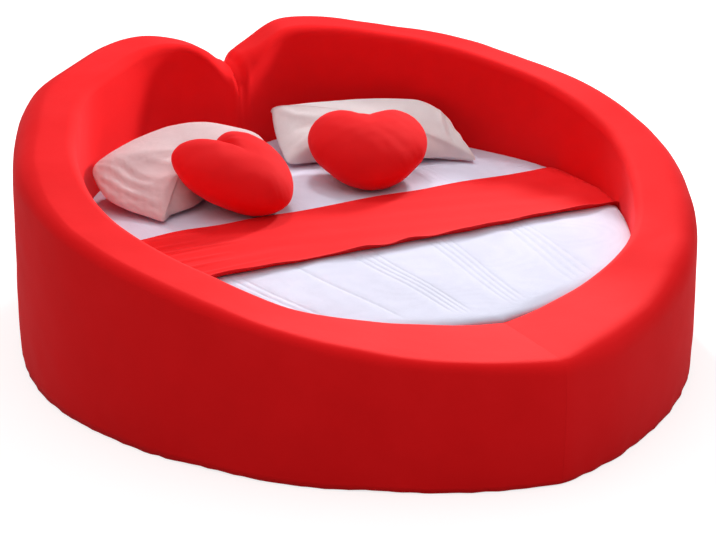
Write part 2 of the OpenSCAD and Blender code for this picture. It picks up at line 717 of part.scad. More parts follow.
// Seam of each pillow as it lies, from its front corner round over its right end: shares of
// the pillow's length, depth and crown. The back edge leans up against the wall.
right_seam_shares = [
    [0.000, 0.000, 0.10], [0.150, 0.040, 0.12], [0.280, -0.050, 0.13], [0.420, -0.125, 0.14],
    [0.560, -0.120, 0.14], [0.690, -0.030, 0.12], [0.865, -0.014, 0.10], [1.000, -0.060, 0.06],
    [0.960, 0.122, 0.33], [0.927, 0.243, 0.52], [0.907, 0.378, 0.67], [0.858, 0.540, 0.81],
    [0.794, 0.676, 0.87], [0.649, 0.743, 0.90], [0.479, 0.770, 0.90], [0.309, 0.762, 0.90],
    [0.155, 0.743, 0.88], [0.046, 0.735, 0.85], [-0.053, 0.735, 0.81], [-0.018, 0.514, 0.62],
    [0.005, 0.324, 0.42], [0.005, 0.162, 0.24]
];
left_seam_shares = [
    [-0.066, -0.014, 0.06], [0.000, 0.000, 0.10], [0.160, -0.048, 0.12], [0.357, -0.005, 0.14],
    [0.480, -0.070, 0.15], [0.620, -0.080, 0.15], [0.800, -0.020, 0.14], [0.958, 0.070, 0.15],
    [0.997, 0.162, 0.40], [0.994, 0.268, 0.62], [0.904, 0.443, 0.84], [0.835, 0.622, 0.92],
    [0.743, 0.760, 0.95], [0.618, 0.878, 0.93], [0.430, 0.930, 0.90], [0.201, 0.919, 0.83],
    [0.019, 0.870, 0.77], [-0.043, 0.754, 0.55], [-0.074, 0.595, 0.30], [-0.080, 0.386, 0.17],
    [-0.073, 0.162, 0.10]
];
// Middle of each pillow as shares of its length and depth
right_middle_share = [0.47, 0.33];
left_middle_share = [0.47, 0.36];
// The cushions lie a little off the middle, where the mattress has this share of its crown
cushion_crown_share = 0.861;
pillow_z = quilt_z + quilt_edge_t + cushion_crown_share * crown_h + seat;
// Crown of a pillow over its seam, as a share of the pillow's height
puff_share = 0.45;

module pillow(table, middle_share) {
    line = smooth(table, 2);
    seam = [for (p = line) [p[0] * pillow_l, p[1] * pillow_w]];
    zs = [for (p = line) p[2] * pillow_h];
    flat = zs * [for (z = zs) 1] / len(zs);
    middle = [middle_share[0] * pillow_l, middle_share[1] * pillow_w];
    puff(seam, middle, puff_shares,
        [for (f = concat(puff_shares, [0]))
            [for (z = zs) flat + (z - flat) * f + puff_share * pillow_h * rise(f)]],
        [for (f = concat(puff_shares, [0])) [for (z = zs) z * pow(max(0, (f - 0.5) * 2), 1.6)]]);
}

// Front corner and turn, in degrees, of each pillow on the mattress
right_corner = [right_corner_x, bed_l / 2 - right_corner_back];
left_corner = [-left_corner_x, bed_l / 2 - left_corner_back];
right_turn = -20.5;
left_turn = 29.2;

module pillow_right() {
    translate([right_corner[0], right_corner[1], pillow_z])
        rotate([0, 0, right_turn]) pillow(right_seam_shares, right_middle_share);
}

module pillow_left() {
    translate([left_corner[0], left_corner[1], pillow_z])
        rotate([0, 0, left_turn]) pillow(left_seam_shares, left_middle_share);
}

// Outline of a heart, with its cleft softened towards an oval, in shares of its size
heart_points = 36;
cleft_soft = 0.52;
function heart_raw(a) =
    [sin(a) * (cleft_soft + (1 - cleft_soft) * pow(sin(a), 2)),
        cleft_soft * (0.9 * cos(a) - 0.1)
        + (1 - cleft_soft) * (13 * cos(a) - 5 * cos(2 * a) - 2 * cos(3 * a) - cos(4 * a)) / 16];
heart_line = [for (i = [0 : heart_points - 1]) heart_raw(-360 * i / heart_points)];
heart_top = max([for (p = heart_line) p[1]]);
heart_low = min([for (p = heart_line) p[1]]);
heart_reach = max([for (p = heart_line) p[0]]);

module heart_cushion() {
    seam = [for (p = heart_line)
        [p[0] / heart_reach * heart_w / 2,
            ((p[1] - heart_low) / (heart_top - heart_low) - 0.5) * heart_l]];
    side = [for (f = concat(puff_shares, [0])) [for (p = seam) heart_t / 2 * rise(f)]];
    puff(seam, [0, 0], puff_shares, side, -side);
}

// Places of the hearts: their middles from their pillow's front corner as shares of its
// length, height over the mattress as a share of the heart's length, and the turns in degrees
left_heart_share = [0.415, 0.01725];
right_heart_share = [0.28077, -0.35912];
left_heart_lift_share = 0.27242;
right_heart_lift_share = 0.26533;
left_heart_turns = [17.76, 26.3, -10.54];
right_heart_turns = [15.47, -22.06, -2.23];

module placed_heart(corner, share, lift, turns) {
    spot = corner + share * pillow_l;
    translate([spot[0], spot[1], pillow_z + lift * heart_l])
        rotate([0, 0, turns[1]]) rotate([turns[0], 0, 0]) rotate([0, 0, turns[2]])
            heart_cushion();
}

velvet = "#c8202c";
foam = "#efe6c8";
plywood = "#d8b98a";
pine = "#e0c79c";
steel = "#b4b7bc";
felt = "#4a4a4c";
linen = "#f1f0f4";
ticking = "#e6e6ea";

color(velvet) left_side() wall_cover();  // wall_cover_left
color(velvet) wall_cover();  // wall_cover_right
color(foam) left_side() wall_foam();  // wall_foam_left
color(foam) wall_foam();  // wall_foam_right
color(plywood) left_side() outer_panel();  // outer_panel_left
color(plywood) outer_panel();  // outer_panel_right
color(plywood) left_side() inner_panel();  // inner_panel_left
color(plywood) inner_panel();  // inner_panel_right
color(plywood) left_side() top_strip();  // top_strip_left
color(plywood) top_strip();  // top_strip_right
color(plywood) left_side() base_plate();  // base_plate_left
color(plywood) base_plate();  // base_plate_right
color(pine) left_side() uprights();  // uprights_left
color(pine) uprights();  // uprights_right
color(pine) left_side() batten();  // battens_left
color(pine) batten();  // battens_right
color(felt) floor_glides();
color(steel) join_bolts();
color(steel) join_nuts();
color(steel) join_washers();
color(pine) centre_beam();
color(steel) beam_screws();
color(pine) centre_legs();
color(pine) leg_dowels();
color(felt) leg_glides();
color(pine) left_side() slats();  // slats_left
color(pine) slats();  // slats_right
color(ticking) slat_webbing();
color(ticking) mattress_base_panel();
color(foam) mattress_core();
color(ticking) mattress_border();
color(linen) quilted_top();
color(velvet) runner();
color(linen) pillow_left();
color(linen) pillow_right();
color(velvet)  // heart_cushion_left
        placed_heart(left_corner, left_heart_share, left_heart_lift_share, left_heart_turns);
color(velvet)  // heart_cushion_right
        placed_heart(right_corner, right_heart_share, right_heart_lift_share, right_heart_turns);
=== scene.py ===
# Looks of the heart-shaped bed: velvet wall cover, quilted mattress, runner, pillows and
# heart cushions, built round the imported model. Units are metres. The sizes and the outline
# repeat the values of part.scad, but the inner edge of the wall's rim is tighter.
import math

import bmesh
import bpy
import numpy as np
from mathutils import Matrix


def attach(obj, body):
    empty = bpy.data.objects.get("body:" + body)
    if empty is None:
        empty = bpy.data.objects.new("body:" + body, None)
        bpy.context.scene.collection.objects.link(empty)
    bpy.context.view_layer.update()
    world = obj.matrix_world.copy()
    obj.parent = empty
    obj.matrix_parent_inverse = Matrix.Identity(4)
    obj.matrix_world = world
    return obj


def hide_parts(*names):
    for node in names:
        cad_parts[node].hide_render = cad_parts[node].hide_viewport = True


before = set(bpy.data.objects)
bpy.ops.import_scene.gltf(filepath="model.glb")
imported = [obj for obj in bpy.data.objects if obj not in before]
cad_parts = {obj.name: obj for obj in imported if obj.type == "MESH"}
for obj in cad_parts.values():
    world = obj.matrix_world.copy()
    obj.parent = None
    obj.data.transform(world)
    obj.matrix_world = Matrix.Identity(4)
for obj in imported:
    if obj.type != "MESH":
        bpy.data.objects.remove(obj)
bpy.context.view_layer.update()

# Camera at the photograph's viewing angle
FRAME_W = 716
FOCAL_PX = 2258.66
SENSOR_MM = 36
CAMERA_AT = (-3.322, -6.0705, 2.956)
CAMERA_YAW = -0.4986
CAMERA_PITCH = 0.3728
CAMERA_ROLL = 0.0037


def add_camera():
    data = bpy.data.cameras.new("camera")
    data.sensor_width = SENSOR_MM
    data.lens = FOCAL_PX * SENSOR_MM / FRAME_W
    camera = bpy.data.objects.new("camera", data)
    camera.matrix_world = (
        Matrix.Translation(CAMERA_AT) @ Matrix.Rotation(CAMERA_YAW, 4, "Z")
        @ Matrix.Rotation(math.pi / 2 - CAMERA_PITCH, 4, "X")
        @ Matrix.Rotation(CAMERA_ROLL, 4, "Z"))
    bpy.context.scene.collection.objects.link(camera)
    bpy.context.scene.camera = camera


add_camera()


# Meshes

TINY = 1e-12
WELD = 1e-6


def new_object(name, points, faces):
    mesh = bpy.data.meshes.new(name)
    mesh.from_pydata([tuple(p) for p in points], [], [tuple(int(i) for i in f) for f in faces])
    mesh.validate()
    mesh.shade_smooth()
    obj = bpy.data.objects.new(name, mesh)
    bpy.context.scene.collection.objects.link(obj)
    return obj


def grid_faces(rows, columns, first=0, flip=False, ring=False, closed=False):
    """Quads of a grid of points: ring closes each row, closed joins the last row to the first."""
    faces = []
    for i in range(rows if closed else rows - 1):
        for j in range(columns if ring else columns - 1):
            a = first + i * columns + j
            b = first + i * columns + (j + 1) % columns
            c = first + (i + 1) % rows * columns + (j + 1) % columns
            d = first + (i + 1) % rows * columns + j
            faces.append((a, d, c, b) if flip else (a, b, c, d))
    return faces


def rim_faces(rows, columns, first, second, flip=False):
    """Quads that join the edges of two grids of the same size."""
    edge = [(0, j) for j in range(columns)]
    edge += [(i, columns - 1) for i in range(1, rows)]
    edge += [(rows - 1, j) for j in range(columns - 2, -1, -1)]
    edge += [(i, 0) for i in range(rows - 2, 0, -1)]
    spots = [i * columns + j for i, j in edge]
    faces = []
    for k, s in enumerate(spots):
        n = spots[(k + 1) % len(spots)]
        face = (first + s, second + s, second + n, first + n)
        faces.append(face if flip else face[::-1])
    return faces


def shell(name, outer, inner, flip=False):
    """Closed sheet between two grids of points."""
    rows, columns = outer.shape[:2]
    count = rows * columns
    points = np.concatenate([outer.reshape(-1, 3), inner.reshape(-1, 3)])
    faces = grid_faces(rows, columns, 0, flip)
    faces += grid_faces(rows, columns, count, not flip)
    faces += rim_faces(rows, columns, 0, count, flip)
    obj = new_object(name, points, faces)
    # The rim is sharp, so the sheet's own surface is shaded evenly up to its edge
    at_edge = np.zeros((rows, columns), bool)
    at_edge[[0, -1]] = True
    at_edge[:, [0, -1]] = True
    at_edge = np.tile(at_edge.ravel(), 2)
    ends = np.empty(2 * len(obj.data.edges), int)
    obj.data.edges.foreach_get("vertices", ends)
    obj.data.edges.foreach_set("use_edge_sharp", at_edge[ends].reshape(-1, 2).all(axis=1))
    return obj


def grid_normals(grid):
    """Unit normals of a grid of points, along row step x column step."""
    along = np.gradient(grid, axis=0)
    across = np.gradient(grid, axis=1)
    normal = np.cross(along, across)
    length = np.linalg.norm(normal, axis=2, keepdims=True)
    return normal / np.maximum(length, TINY)


RIPPLE_WAVES = 9
WAVE_SIZES = (0.7, 1.5)


def ripples(points, size, seed):
    """Smooth random field of about unit height, made of waves of about the given length."""
    rng = np.random.default_rng(seed)
    way = rng.normal(size=(RIPPLE_WAVES, 3))
    way /= np.linalg.norm(way, axis=1, keepdims=True)
    way *= 2 * math.pi / (size * rng.uniform(*WAVE_SIZES, size=(RIPPLE_WAVES, 1)))
    start = rng.uniform(0, 2 * math.pi, size=RIPPLE_WAVES)
    return np.sin(points @ way.T + start).sum(axis=-1) / math.sqrt(RIPPLE_WAVES / 2)


def slack(points, layers, seed):
    """Unevenness of soft cloth: a coarse and a fine layer of (height, wave length)."""
    return sum(high * ripples(points, size, seed + k) for k, (high, size) in enumerate(layers))


def bell(distance, width):
    return np.exp(-((distance / width) ** 2))


def ease(value, low, high):
    t = np.clip((value - low) / (high - low), 0, 1)
    return t * t * (3 - 2 * t)


def along_line(points, line):
    """Distance from plane points to a polyline, and the share of the way along it."""
    line = np.asarray(line, float)
    best = np.full(points.shape[:-1], np.inf)
    share = np.zeros(points.shape[:-1])
    steps = np.linalg.norm(np.diff(line, axis=0), axis=1)
    total = steps.sum()
    done = 0.0
    for a, b, step in zip(line[:-1], line[1:], steps):
        t = np.clip(((points - a) @ (b - a)) / max(step * step, TINY), 0, 1)
        gap = np.linalg.norm(points - a - t[..., None] * (b - a), axis=-1)
        nearer = gap < best
        best = np.where(nearer, gap, best)
        share = np.where(nearer, (done + t * step) / total, share)
        done += step
    return best, share


CREASE_END = 0.04
CREASE_FADE = 0.6


def crease(points, line, width, height):
    """Ridge, or furrow for a negative height, that runs along a line and fades at its ends."""
    gap, share = along_line(points, line)
    share = np.clip(share, CREASE_END, 1 - CREASE_END)
    return height * bell(gap, width) * np.sin(math.pi * share) ** CREASE_FADE


# Materials

def linear(colour):
    """Linear colour with alpha from 0-255 screen values."""
    scaled = [c / 255 for c in colour]
    return tuple(c / 12.92 if c <= 0.04045 else ((c + 0.055) / 1.055) ** 2.4
                 for c in scaled) + (1,)


def calculated(tree, operation, a, b):
    """Output of a math node whose inputs are numbers or other nodes' outputs."""
    node = tree.nodes.new("ShaderNodeMath")
    node.operation = operation
    for socket, value in zip(node.inputs, (a, b)):
        if isinstance(value, (int, float)):
            socket.default_value = value
        else:
            tree.links.new(value, socket)
    return node.outputs[0]


class Nodes:
    """A new material and short ways to add and join its nodes."""

    def __init__(self, name):
        self.material = bpy.data.materials.new(name)
        self.material.use_nodes = True
        self.tree = self.material.node_tree
        self.shader = self.tree.nodes["Principled BSDF"]
        self.place = self.add("ShaderNodeTexCoord").outputs["Object"]

    def add(self, kind, **values):
        node = self.tree.nodes.new(kind)
        for key, value in values.items():
            setattr(node, key, value)
        return node

    def join(self, source, target):
        self.tree.links.new(source, target)

    def set(self, **values):
        for key, value in values.items():
            self.shader.inputs[key.replace("_", " ")].default_value = value

    def stretched(self, scale):
        node = self.add("ShaderNodeMapping")
        node.inputs["Scale"].default_value = scale
        self.join(self.place, node.inputs["Vector"])
        return node.outputs["Vector"]

    def noise(self, scale, detail, rough, place=None):
        node = self.add("ShaderNodeTexNoise")
        node.inputs["Scale"].default_value = scale
        node.inputs["Detail"].default_value = detail
        node.inputs["Roughness"].default_value = rough
        self.join(place or self.place, node.inputs["Vector"])
        return node.outputs["Fac"]

    def wave(self, scale, direction, warp, place=None):
        node = self.add("ShaderNodeTexWave", bands_direction=direction)
        node.inputs["Scale"].default_value = scale
        node.inputs["Distortion"].default_value = warp
        self.join(place or self.place, node.inputs["Vector"])
        return node.outputs["Fac"]

    def ramp(self, value, stops):
        node = self.add("ShaderNodeValToRGB")
        items = node.color_ramp.elements
        while len(items) < len(stops):
            items.new(0.5)
        for item, (at, colour) in zip(items, stops):
            item.position = at
            item.color = colour
        self.join(value, node.inputs["Fac"])
        return node.outputs["Color"]

    def mixed(self, first, second, share):
        """Two values added with the given share of the first."""
        return calculated(self.tree, "ADD", calculated(self.tree, "MULTIPLY", first, share),
                          calculated(self.tree, "MULTIPLY", second, 1 - share))

    def colour(self, value, stops):
        """Base colour that runs through the stops as the value rises."""
        shades = [(at, linear(shade)) for at, shade in stops]
        self.join(self.ramp(value, shades), self.shader.inputs["Base Color"])

    def bump(self, layers):
        """Stacks bump layers of (height, strength, distance) on the shader's normal."""
        last = None
        for height, strength, distance in layers:
            node = self.add("ShaderNodeBump")
            node.inputs["Strength"].default_value = strength
            node.inputs["Distance"].default_value = distance
            self.join(height, node.inputs["Height"])
            if last:
                self.join(last, node.inputs["Normal"])
            last = node.outputs["Normal"]
        self.join(last, self.shader.inputs["Normal"])


VELVET_GLOW = (255, 120, 130)


def velvet(name, deep, mid, light):
    """Short pile: mottled where it is brushed, with a soft glow at grazing angles."""
    n = Nodes(name)
    brushed = n.noise(2.6, 4, 0.55)
    pile = n.noise(420, 2, 0.6)
    n.colour(n.mixed(brushed, pile, 0.8), [(0.3, deep), (0.5, mid), (0.72, light)])
    n.set(Roughness=0.82, Sheen_Weight=0.2, Sheen_Roughness=0.42, Specular_IOR_Level=0.12)
    n.set(Sheen_Tint=linear(VELVET_GLOW))
    n.bump([(n.noise(9, 3, 0.5), 0.35, 0.006), (n.noise(160, 3, 0.6), 0.3, 0.0012),
            (pile, 0.35, 0.0006)])
    return n.material


# Bands to a metre of a wave texture of scale 1
WAVE_BANDS = 3.18
THREAD_WARP = 0.4


def weave(name, shade, light, threads, depth, soft_bump=0.0):
    """Plain woven or knitted cloth with the given threads to a metre."""
    n = Nodes(name)
    across, along, upright = [n.wave(threads / WAVE_BANDS, axis, THREAD_WARP) for axis in "XYZ"]
    cloth = calculated(n.tree, "ADD", calculated(n.tree, "ADD", across, along), upright)
    height = calculated(n.tree, "MULTIPLY", cloth, 0.33)
    n.colour(n.mixed(n.noise(4.5, 4, 0.6), height, 0.75), [(0.3, shade), (0.65, light)])
    n.set(Roughness=0.9, Sheen_Weight=0.15, Sheen_Roughness=0.6, Specular_IOR_Level=0.25)
    layers = [(height, 0.5, depth)]
    if soft_bump:
        layers.insert(0, (n.noise(22, 3, 0.55), 0.5, soft_bump))
    n.bump(layers)
    return n.material


KNOT_BROWN = (122, 78, 40)


def wood(name, dark, mid, light, scale, rough=0.6, knots=0.0):
    """Timber with grain along the axis where scale is small."""
    n = Nodes(name)
    place = n.stretched(scale)
    bands = n.wave(1.0, "DIAGONAL", 7.0, place)
    fibre = n.noise(14, 6, 0.65, place)
    colour = n.ramp(n.mixed(bands, fibre, 0.55),
                    [(0.2, linear(dark)), (0.5, linear(mid)), (0.85, linear(light))])
    if knots:
        spots = n.add("ShaderNodeTexVoronoi")
        spots.inputs["Scale"].default_value = knots
        n.join(n.place, spots.inputs["Vector"])
        near = n.ramp(spots.outputs["Distance"], [(0.03, (0, 0, 0, 1)), (0.09, (1, 1, 1, 1))])
        blend = n.add("ShaderNodeMix", data_type="RGBA")
        n.join(near, blend.inputs["Factor"])
        blend.inputs["A"].default_value = linear(KNOT_BROWN)
        n.join(colour, blend.inputs["B"])
        colour = blend.outputs["Result"]
    n.join(colour, n.shader.inputs["Base Color"])
    n.set(Roughness=rough, Specular_IOR_Level=0.35)
    n.bump([(fibre, 0.25, 0.0008)])
    return n.material


def foam_material(name, shade, light):
    n = Nodes(name)
    cells = n.add("ShaderNodeTexVoronoi")
    cells.inputs["Scale"].default_value = 520
    n.join(n.place, cells.inputs["Vector"])
    n.colour(cells.outputs["Distance"], [(0.1, shade), (0.6, light)])
    n.set(Roughness=0.95, Specular_IOR_Level=0.15)
    n.bump([(cells.outputs["Distance"], 0.5, 0.001)])
    return n.material


def steel_material():
    n = Nodes("zinc_plated")
    n.colour(n.noise(90, 4, 0.6), [(0.35, (150, 153, 158)), (0.7, (198, 200, 204))])
    n.set(Metallic=1.0, Roughness=0.38)
    n.bump([(n.noise(300, 2, 0.5), 0.2, 0.0003)])
    return n.material


def felt_material():
    n = Nodes("grey_felt")
    hairs = n.noise(700, 4, 0.75)
    n.colour(hairs, [(0.3, (52, 52, 55)), (0.7, (96, 96, 100))])
    n.set(Roughness=0.97, Sheen_Weight=0.3, Specular_IOR_Level=0.1)
    n.bump([(hairs, 0.6, 0.0012)])
    return n.material


wall_velvet = velvet("red_velvet_wall", (240, 16, 20), (247, 19, 23), (252, 24, 29))
# The runner and heart cushions take a darker copy of the wall's velvet; the darkening is painted
# shade for the shade that falls on them
cushion_velvet_painted_shade = velvet("red_velvet_cushion_painted_shade", (219, 14, 19), (229, 17, 21), (239, 22, 27))
knit = weave("white_knit", (208, 209, 228), (218, 219, 238), 900, 0.0005, soft_bump=0.002)
linen = weave("pillow_linen", (214, 205, 207), (228, 220, 221), 1100, 0.0004, soft_bump=0.003)
# The left pillow's linen is darker and pinker than the right one's: painted shade and painted red
# reflection from the wall beside it
linen_painted_wall_reflection = weave("pillow_linen_painted_wall_reflection", (196, 170, 173), (211, 187, 189), 1100, 0.0004,
                   soft_bump=0.003)
ticking = weave("mattress_ticking", (214, 214, 220), (230, 230, 236), 700, 0.0006)
webbing_cloth = weave("webbing", (196, 190, 176), (222, 218, 206), 420, 0.0012)
upholstery_foam = foam_material("upholstery_foam", (222, 208, 168), (240, 230, 200))
core_foam = foam_material("mattress_foam", (226, 222, 206), (243, 240, 228))
PINE_SHADES = ((186, 140, 88), (216, 176, 122), (232, 200, 152))
PINE_KNOTS = 2.4
pine_x = wood("pine_crosswise", *PINE_SHADES, (3, 40, 40), knots=PINE_KNOTS)
pine_y = wood("pine_lengthwise", *PINE_SHADES, (40, 3, 40), knots=PINE_KNOTS)
pine_z = wood("pine_upright", *PINE_SHADES, (40, 40, 3), knots=PINE_KNOTS)
birch = wood("birch_plywood", (190, 148, 98), (214, 178, 130), (228, 198, 154), (5, 5, 70),
             rough=0.7)
dowel_wood = wood("beech_dowel", (198, 150, 104), (214, 170, 124), (224, 186, 142), (60, 60, 6),
                  rough=0.5)
steel = steel_material()
felt = felt_material()

# Sizes that repeat part.scad
BED_W = 2.2
BED_L = 2.44
HEAD_H = 0.8
FOOT_H = 0.385
WALL_T = 0.205
FOOT_WALL_T = 0.36
OUTER_ROUND = 0.096
COVER_T = 0.002
PAD_T = 0.027
TOP_PAD_T = 0.06
HEM_W = 0.046
GLIDE_H = 0.006
SEAT = 0.0003
COVER_Z = GLIDE_H - SEAT - COVER_T
DECK_Z = 0.19
WEBBING_T = 0.0015
PAD_FOOT_Z = DECK_Z + WEBBING_T + 2 * COVER_T
HUB_Y = 0.038 * BED_L
KNOT_SHARES = [
    (0.000, 0.450, 0.740, 0.85, 0.00),
    (0.105, 0.477, 0.890, 1.02, 0.00),
    (0.250, 0.500, 0.993, 1.15, 0.00),
    (0.400, 0.485, 0.988, 1.15, 0.00),
    (0.550, 0.433, 0.960, 1.08, 0.00),
    (0.735, 0.358, 0.910, 1.08, 0.00),
    (0.872, 0.247, 0.840, 1.00, 0.00),
    (0.978, 0.116, 0.730, 0.98, 0.00),
    (0.992, -0.041, 0.565, 0.94, 0.00),
    (0.879, -0.191, 0.410, 0.96, 0.00),
    (0.677, -0.326, 0.235, 1.00, 0.05),
    (0.444, -0.412, 0.095, 1.00, 0.50),
    (0.218, -0.468, 0.040, 1.00, 0.78),
    (0.000, -0.500, 0.000, 1.00, 1.00),
]
MATTRESS_T = 0.213
CROWN_H = 0.009
MATTRESS_PLAY = 0.006
BASE_PANEL_T = 0.004
BORDER_T = 0.004
QUILT_EDGE_T = 0.022
SHOULDER = 0.046
CHANNEL_H = 0.007
CHANNEL_PITCH = 0.026
MATTRESS_Z = DECK_Z + WEBBING_T + SEAT
QUILT_Z = DECK_Z + MATTRESS_T - QUILT_EDGE_T
QUILT_RIM = 0.3 * QUILT_EDGE_T
RUNNER_W = 0.414
RUNNER_T = 0.003
RUNNER_BACK = 0.012
TUCK_H = 0.11
PILLOW_L = 0.65
PILLOW_W = 0.37
PILLOW_H = 0.15
HEART_W = 0.412
HEART_L = 0.41
HEART_T = 0.2
CUSHION_Z = QUILT_Z + QUILT_EDGE_T + 0.861 * CROWN_H + SEAT
RIGHT_CORNER = (0.05, 0.618)
LEFT_CORNER = (-0.54, 0.33)
RIGHT_TURN = -20.5
LEFT_TURN = 29.2


# Wall

def curve(a, b, c, d, t):
    """Point between b and c on a smooth curve through all four."""
    return (2 * b + (c - a) * t + (2 * a - 5 * b + 4 * c - d) * t * t
            + (3 * b - a - 3 * c + d) * t * t * t) / 2


KNOTS = np.array(KNOT_SHARES)
LAST_KNOT = len(KNOTS) - 1
PADDED_KNOTS = np.vstack([2 * KNOTS[0] - KNOTS[1], KNOTS, 2 * KNOTS[-1] - KNOTS[-2]])


def to_hub(points):
    """Unit steps from plane points towards the middle of the bed."""
    way = np.array([0, HUB_Y]) - points
    return way / np.linalg.norm(way, axis=1, keepdims=True)


def rings_at(steps):
    """Outer points, ways to the hub, thicknesses and tops at places along the knots."""
    shares = []
    for s in steps:
        i = min(int(s), LAST_KNOT - 1)
        shares.append(curve(*PADDED_KNOTS[i:i + 4], s - i))
    shares = np.array(shares)
    outer = shares[:, :2] * (BED_W / 2, BED_L)
    thick = WALL_T * shares[:, 3] + (FOOT_WALL_T - WALL_T) * shares[:, 4]
    top = FOOT_H + (HEAD_H - FOOT_H) * shares[:, 2]
    return outer, to_hub(outer), thick, top


def arc(from_angle, to_angle, power):
    """Quarter turn with the given fullness: power 1 is round, less than 1 is squarer."""
    angle = np.radians(np.linspace(from_angle, to_angle, ARC_STEPS))
    c, s = np.cos(angle), np.sin(angle)
    return np.sign(c) * np.abs(c) ** power, np.sign(s) * np.abs(s) ** power


FACE_STEPS = 22
ARC_STEPS = 16
TOP_STEPS = 5
HEM_STEPS = 4
FOAM_GAP = 0.003
HALF_GAP = 0.0002
# The inner edge of the rim is tighter than in part.scad, and rounder at the cleft
INNER_ROUND = 0.034
CLEFT_ROUND = 0.1
# The outer rounding is at most this share of the wall's thickness
ROUND_SHARE = 0.55


def section(thick, top, side, cleft, crisp):
    """Line across the wall from its outer hem over the top to its inner hem: depth, height."""
    a = min(OUTER_ROUND, thick * ROUND_SHARE) * (1 - crisp)
    b = INNER_ROUND + (CLEFT_ROUND - INNER_ROUND) * cleft
    hem = [(HEM_W * (1 - k / HEM_STEPS), COVER_Z) for k in range(HEM_STEPS)]
    face = [(0, COVER_Z + (top - a - COVER_Z) * k / FACE_STEPS) for k in range(FACE_STEPS)]
    c, s = arc(180, 90, side)
    out_round = list(zip(a + a * c, top - a + a * s))
    flat = [(a + (thick - a - b) * k / TOP_STEPS, top) for k in range(1, TOP_STEPS)]
    c, s = arc(90, 0, 1.0)
    in_round = list(zip(thick - b + b * c, top - b + b * s))
    inner = [(thick, top - b + (PAD_FOOT_Z - top + b) * k / FACE_STEPS)
             for k in range(1, FACE_STEPS + 1)]
    hem_in = [(thick - PAD_T * k / HEM_STEPS, PAD_FOOT_Z) for k in range(1, HEM_STEPS + 1)]
    return np.array(hem + face + out_round + flat + in_round + inner + hem_in)


RINGS_TO_KNOT = 14
FOOT_SOFT = 0.04
FOOT_TURN = 0.3
CLEFT_CRISP = 0.3
FOOT_CRISP = 0.47
LEFT_CRISP = 0.6
RIGHT_CRISP = 0.15
LEFT_LOBE = 0.010
RIGHT_LOBE = -0.012
LOBE_AT = 1.15
LOBE_SPREAD = 0.6
SQUARENESS = 0.25
# Stretches along the knots, from 0 at the cleft, over which a form comes in
LOBE_IN = (0.1, 0.8)
ROUND_IN = (0.0, 1.6)
CLEFT_CRISP_OUT = (0.5, 2.0)
CRISP_IN = (6.0, 8.3)
SQUARE_IN = (8.5, 11.0)
FOOT_CRISP_OUT = (0.0, 0.8)
WALL_STEPS = np.linspace(0, LAST_KNOT, LAST_KNOT * RINGS_TO_KNOT + 1)
WALL_RINGS = rings_at(WALL_STEPS)


def wall_grid(sign):
    """Plain form of one half: a line across the wall at each ring."""
    outer, way, thick, top = WALL_RINGS
    # The left half has the crisper edge where it comes down to the foot, and the higher lobe
    front = LEFT_CRISP if sign < 0 else RIGHT_CRISP
    lobe = LEFT_LOBE if sign < 0 else RIGHT_LOBE
    rows = []
    for p, w, t, h, s in zip(outer, way, thick, top, WALL_STEPS):
        crisp = FOOT_CRISP + (front - FOOT_CRISP) * ease(LAST_KNOT - s, *FOOT_CRISP_OUT)
        crisp = crisp * ease(s, *CRISP_IN) + CLEFT_CRISP * (1 - ease(s, *CLEFT_CRISP_OUT))
        h = h + lobe * bell(s - LOBE_AT, LOBE_SPREAD) * ease(s, *LOBE_IN)
        side = 1.0 - SQUARENESS * ease(s, *SQUARE_IN)
        line = section(t, h, side, 1 - ease(s, *ROUND_IN), crisp)
        plane = p + line[:, :1] * w
        rows.append(np.column_stack([plane, line[:, 1]]))
    grid = np.array(rows)
    # The outline's point at the foot is soft
    x = grid[..., 0]
    at_foot = (WALL_STEPS > LAST_KNOT - 2)[:, None]
    grid[..., 1] += FOOT_TURN * at_foot * (np.sqrt(x * x + FOOT_SOFT ** 2) - np.abs(x))
    return grid


FULL_OUTSIDE = 0.006
FULL_INSIDE = 0.004
FULL_CURVE = 0.8
WALL_SLACK = ((0.0014, 0.42), (0.0004, 0.13))
GATHER_H = 0.0012
GATHER_SIZE = 0.07
GATHER_REACH = 0.05
SEAM_DIP = 0.004
SEAM_W = 0.006
SEAM_CALM = 0.09
# The left cover rolls over the seam in the cleft and the right one is drawn in beside it.
# Each fold has a height, a distance from the seam and a width.
LEFT_SEAM_FOLDS = [(0.003, 0.014, 0.010)]
RIGHT_SEAM_FOLDS = [(0.0028, 0.046, 0.013), (-0.004, 0.020, 0.011)]
# The folds fade out downwards between these heights
FOLD_Z = (0.42, 0.62)


def wall_relief(grid, seed, sign):
    """Height of the cover over its plain form: fullness, slack and the pull of the seams."""
    top = WALL_RINGS[3][:, None]
    z = grid[..., 2]
    x = np.abs(grid[..., 0])
    columns = np.arange(grid.shape[1])
    outside = columns < HEM_STEPS + FACE_STEPS + ARC_STEPS // 2
    hem_end = (columns < HEM_STEPS) | (columns >= grid.shape[1] - HEM_STEPS)
    share = np.clip((z - COVER_Z) / (top - COVER_Z), 0, 1)
    full = np.where(outside, FULL_OUTSIDE, FULL_INSIDE) * np.sin(math.pi * share) ** FULL_CURVE
    loose = slack(grid, WALL_SLACK, seed)
    near_hem = bell(z - COVER_Z, GATHER_REACH) * outside
    loose += GATHER_H * near_hem * ripples(grid * (1, 1, 0.1), GATHER_SIZE, seed + 2)
    at_head = (WALL_STEPS < LAST_KNOT / 2)[:, None]
    folds = LEFT_SEAM_FOLDS if sign < 0 else RIGHT_SEAM_FOLDS
    fold = sum(high * bell(x - at, wide) for high, at, wide in folds)
    seam = (fold * ease(z, *FOLD_Z) - SEAM_DIP * bell(x, SEAM_W)) * at_head
    return np.where(hem_end, 0, full + loose * ease(x, 0.0, SEAM_CALM) + seam)


def mirrored(grid):
    return grid * (-1, 1, 1)


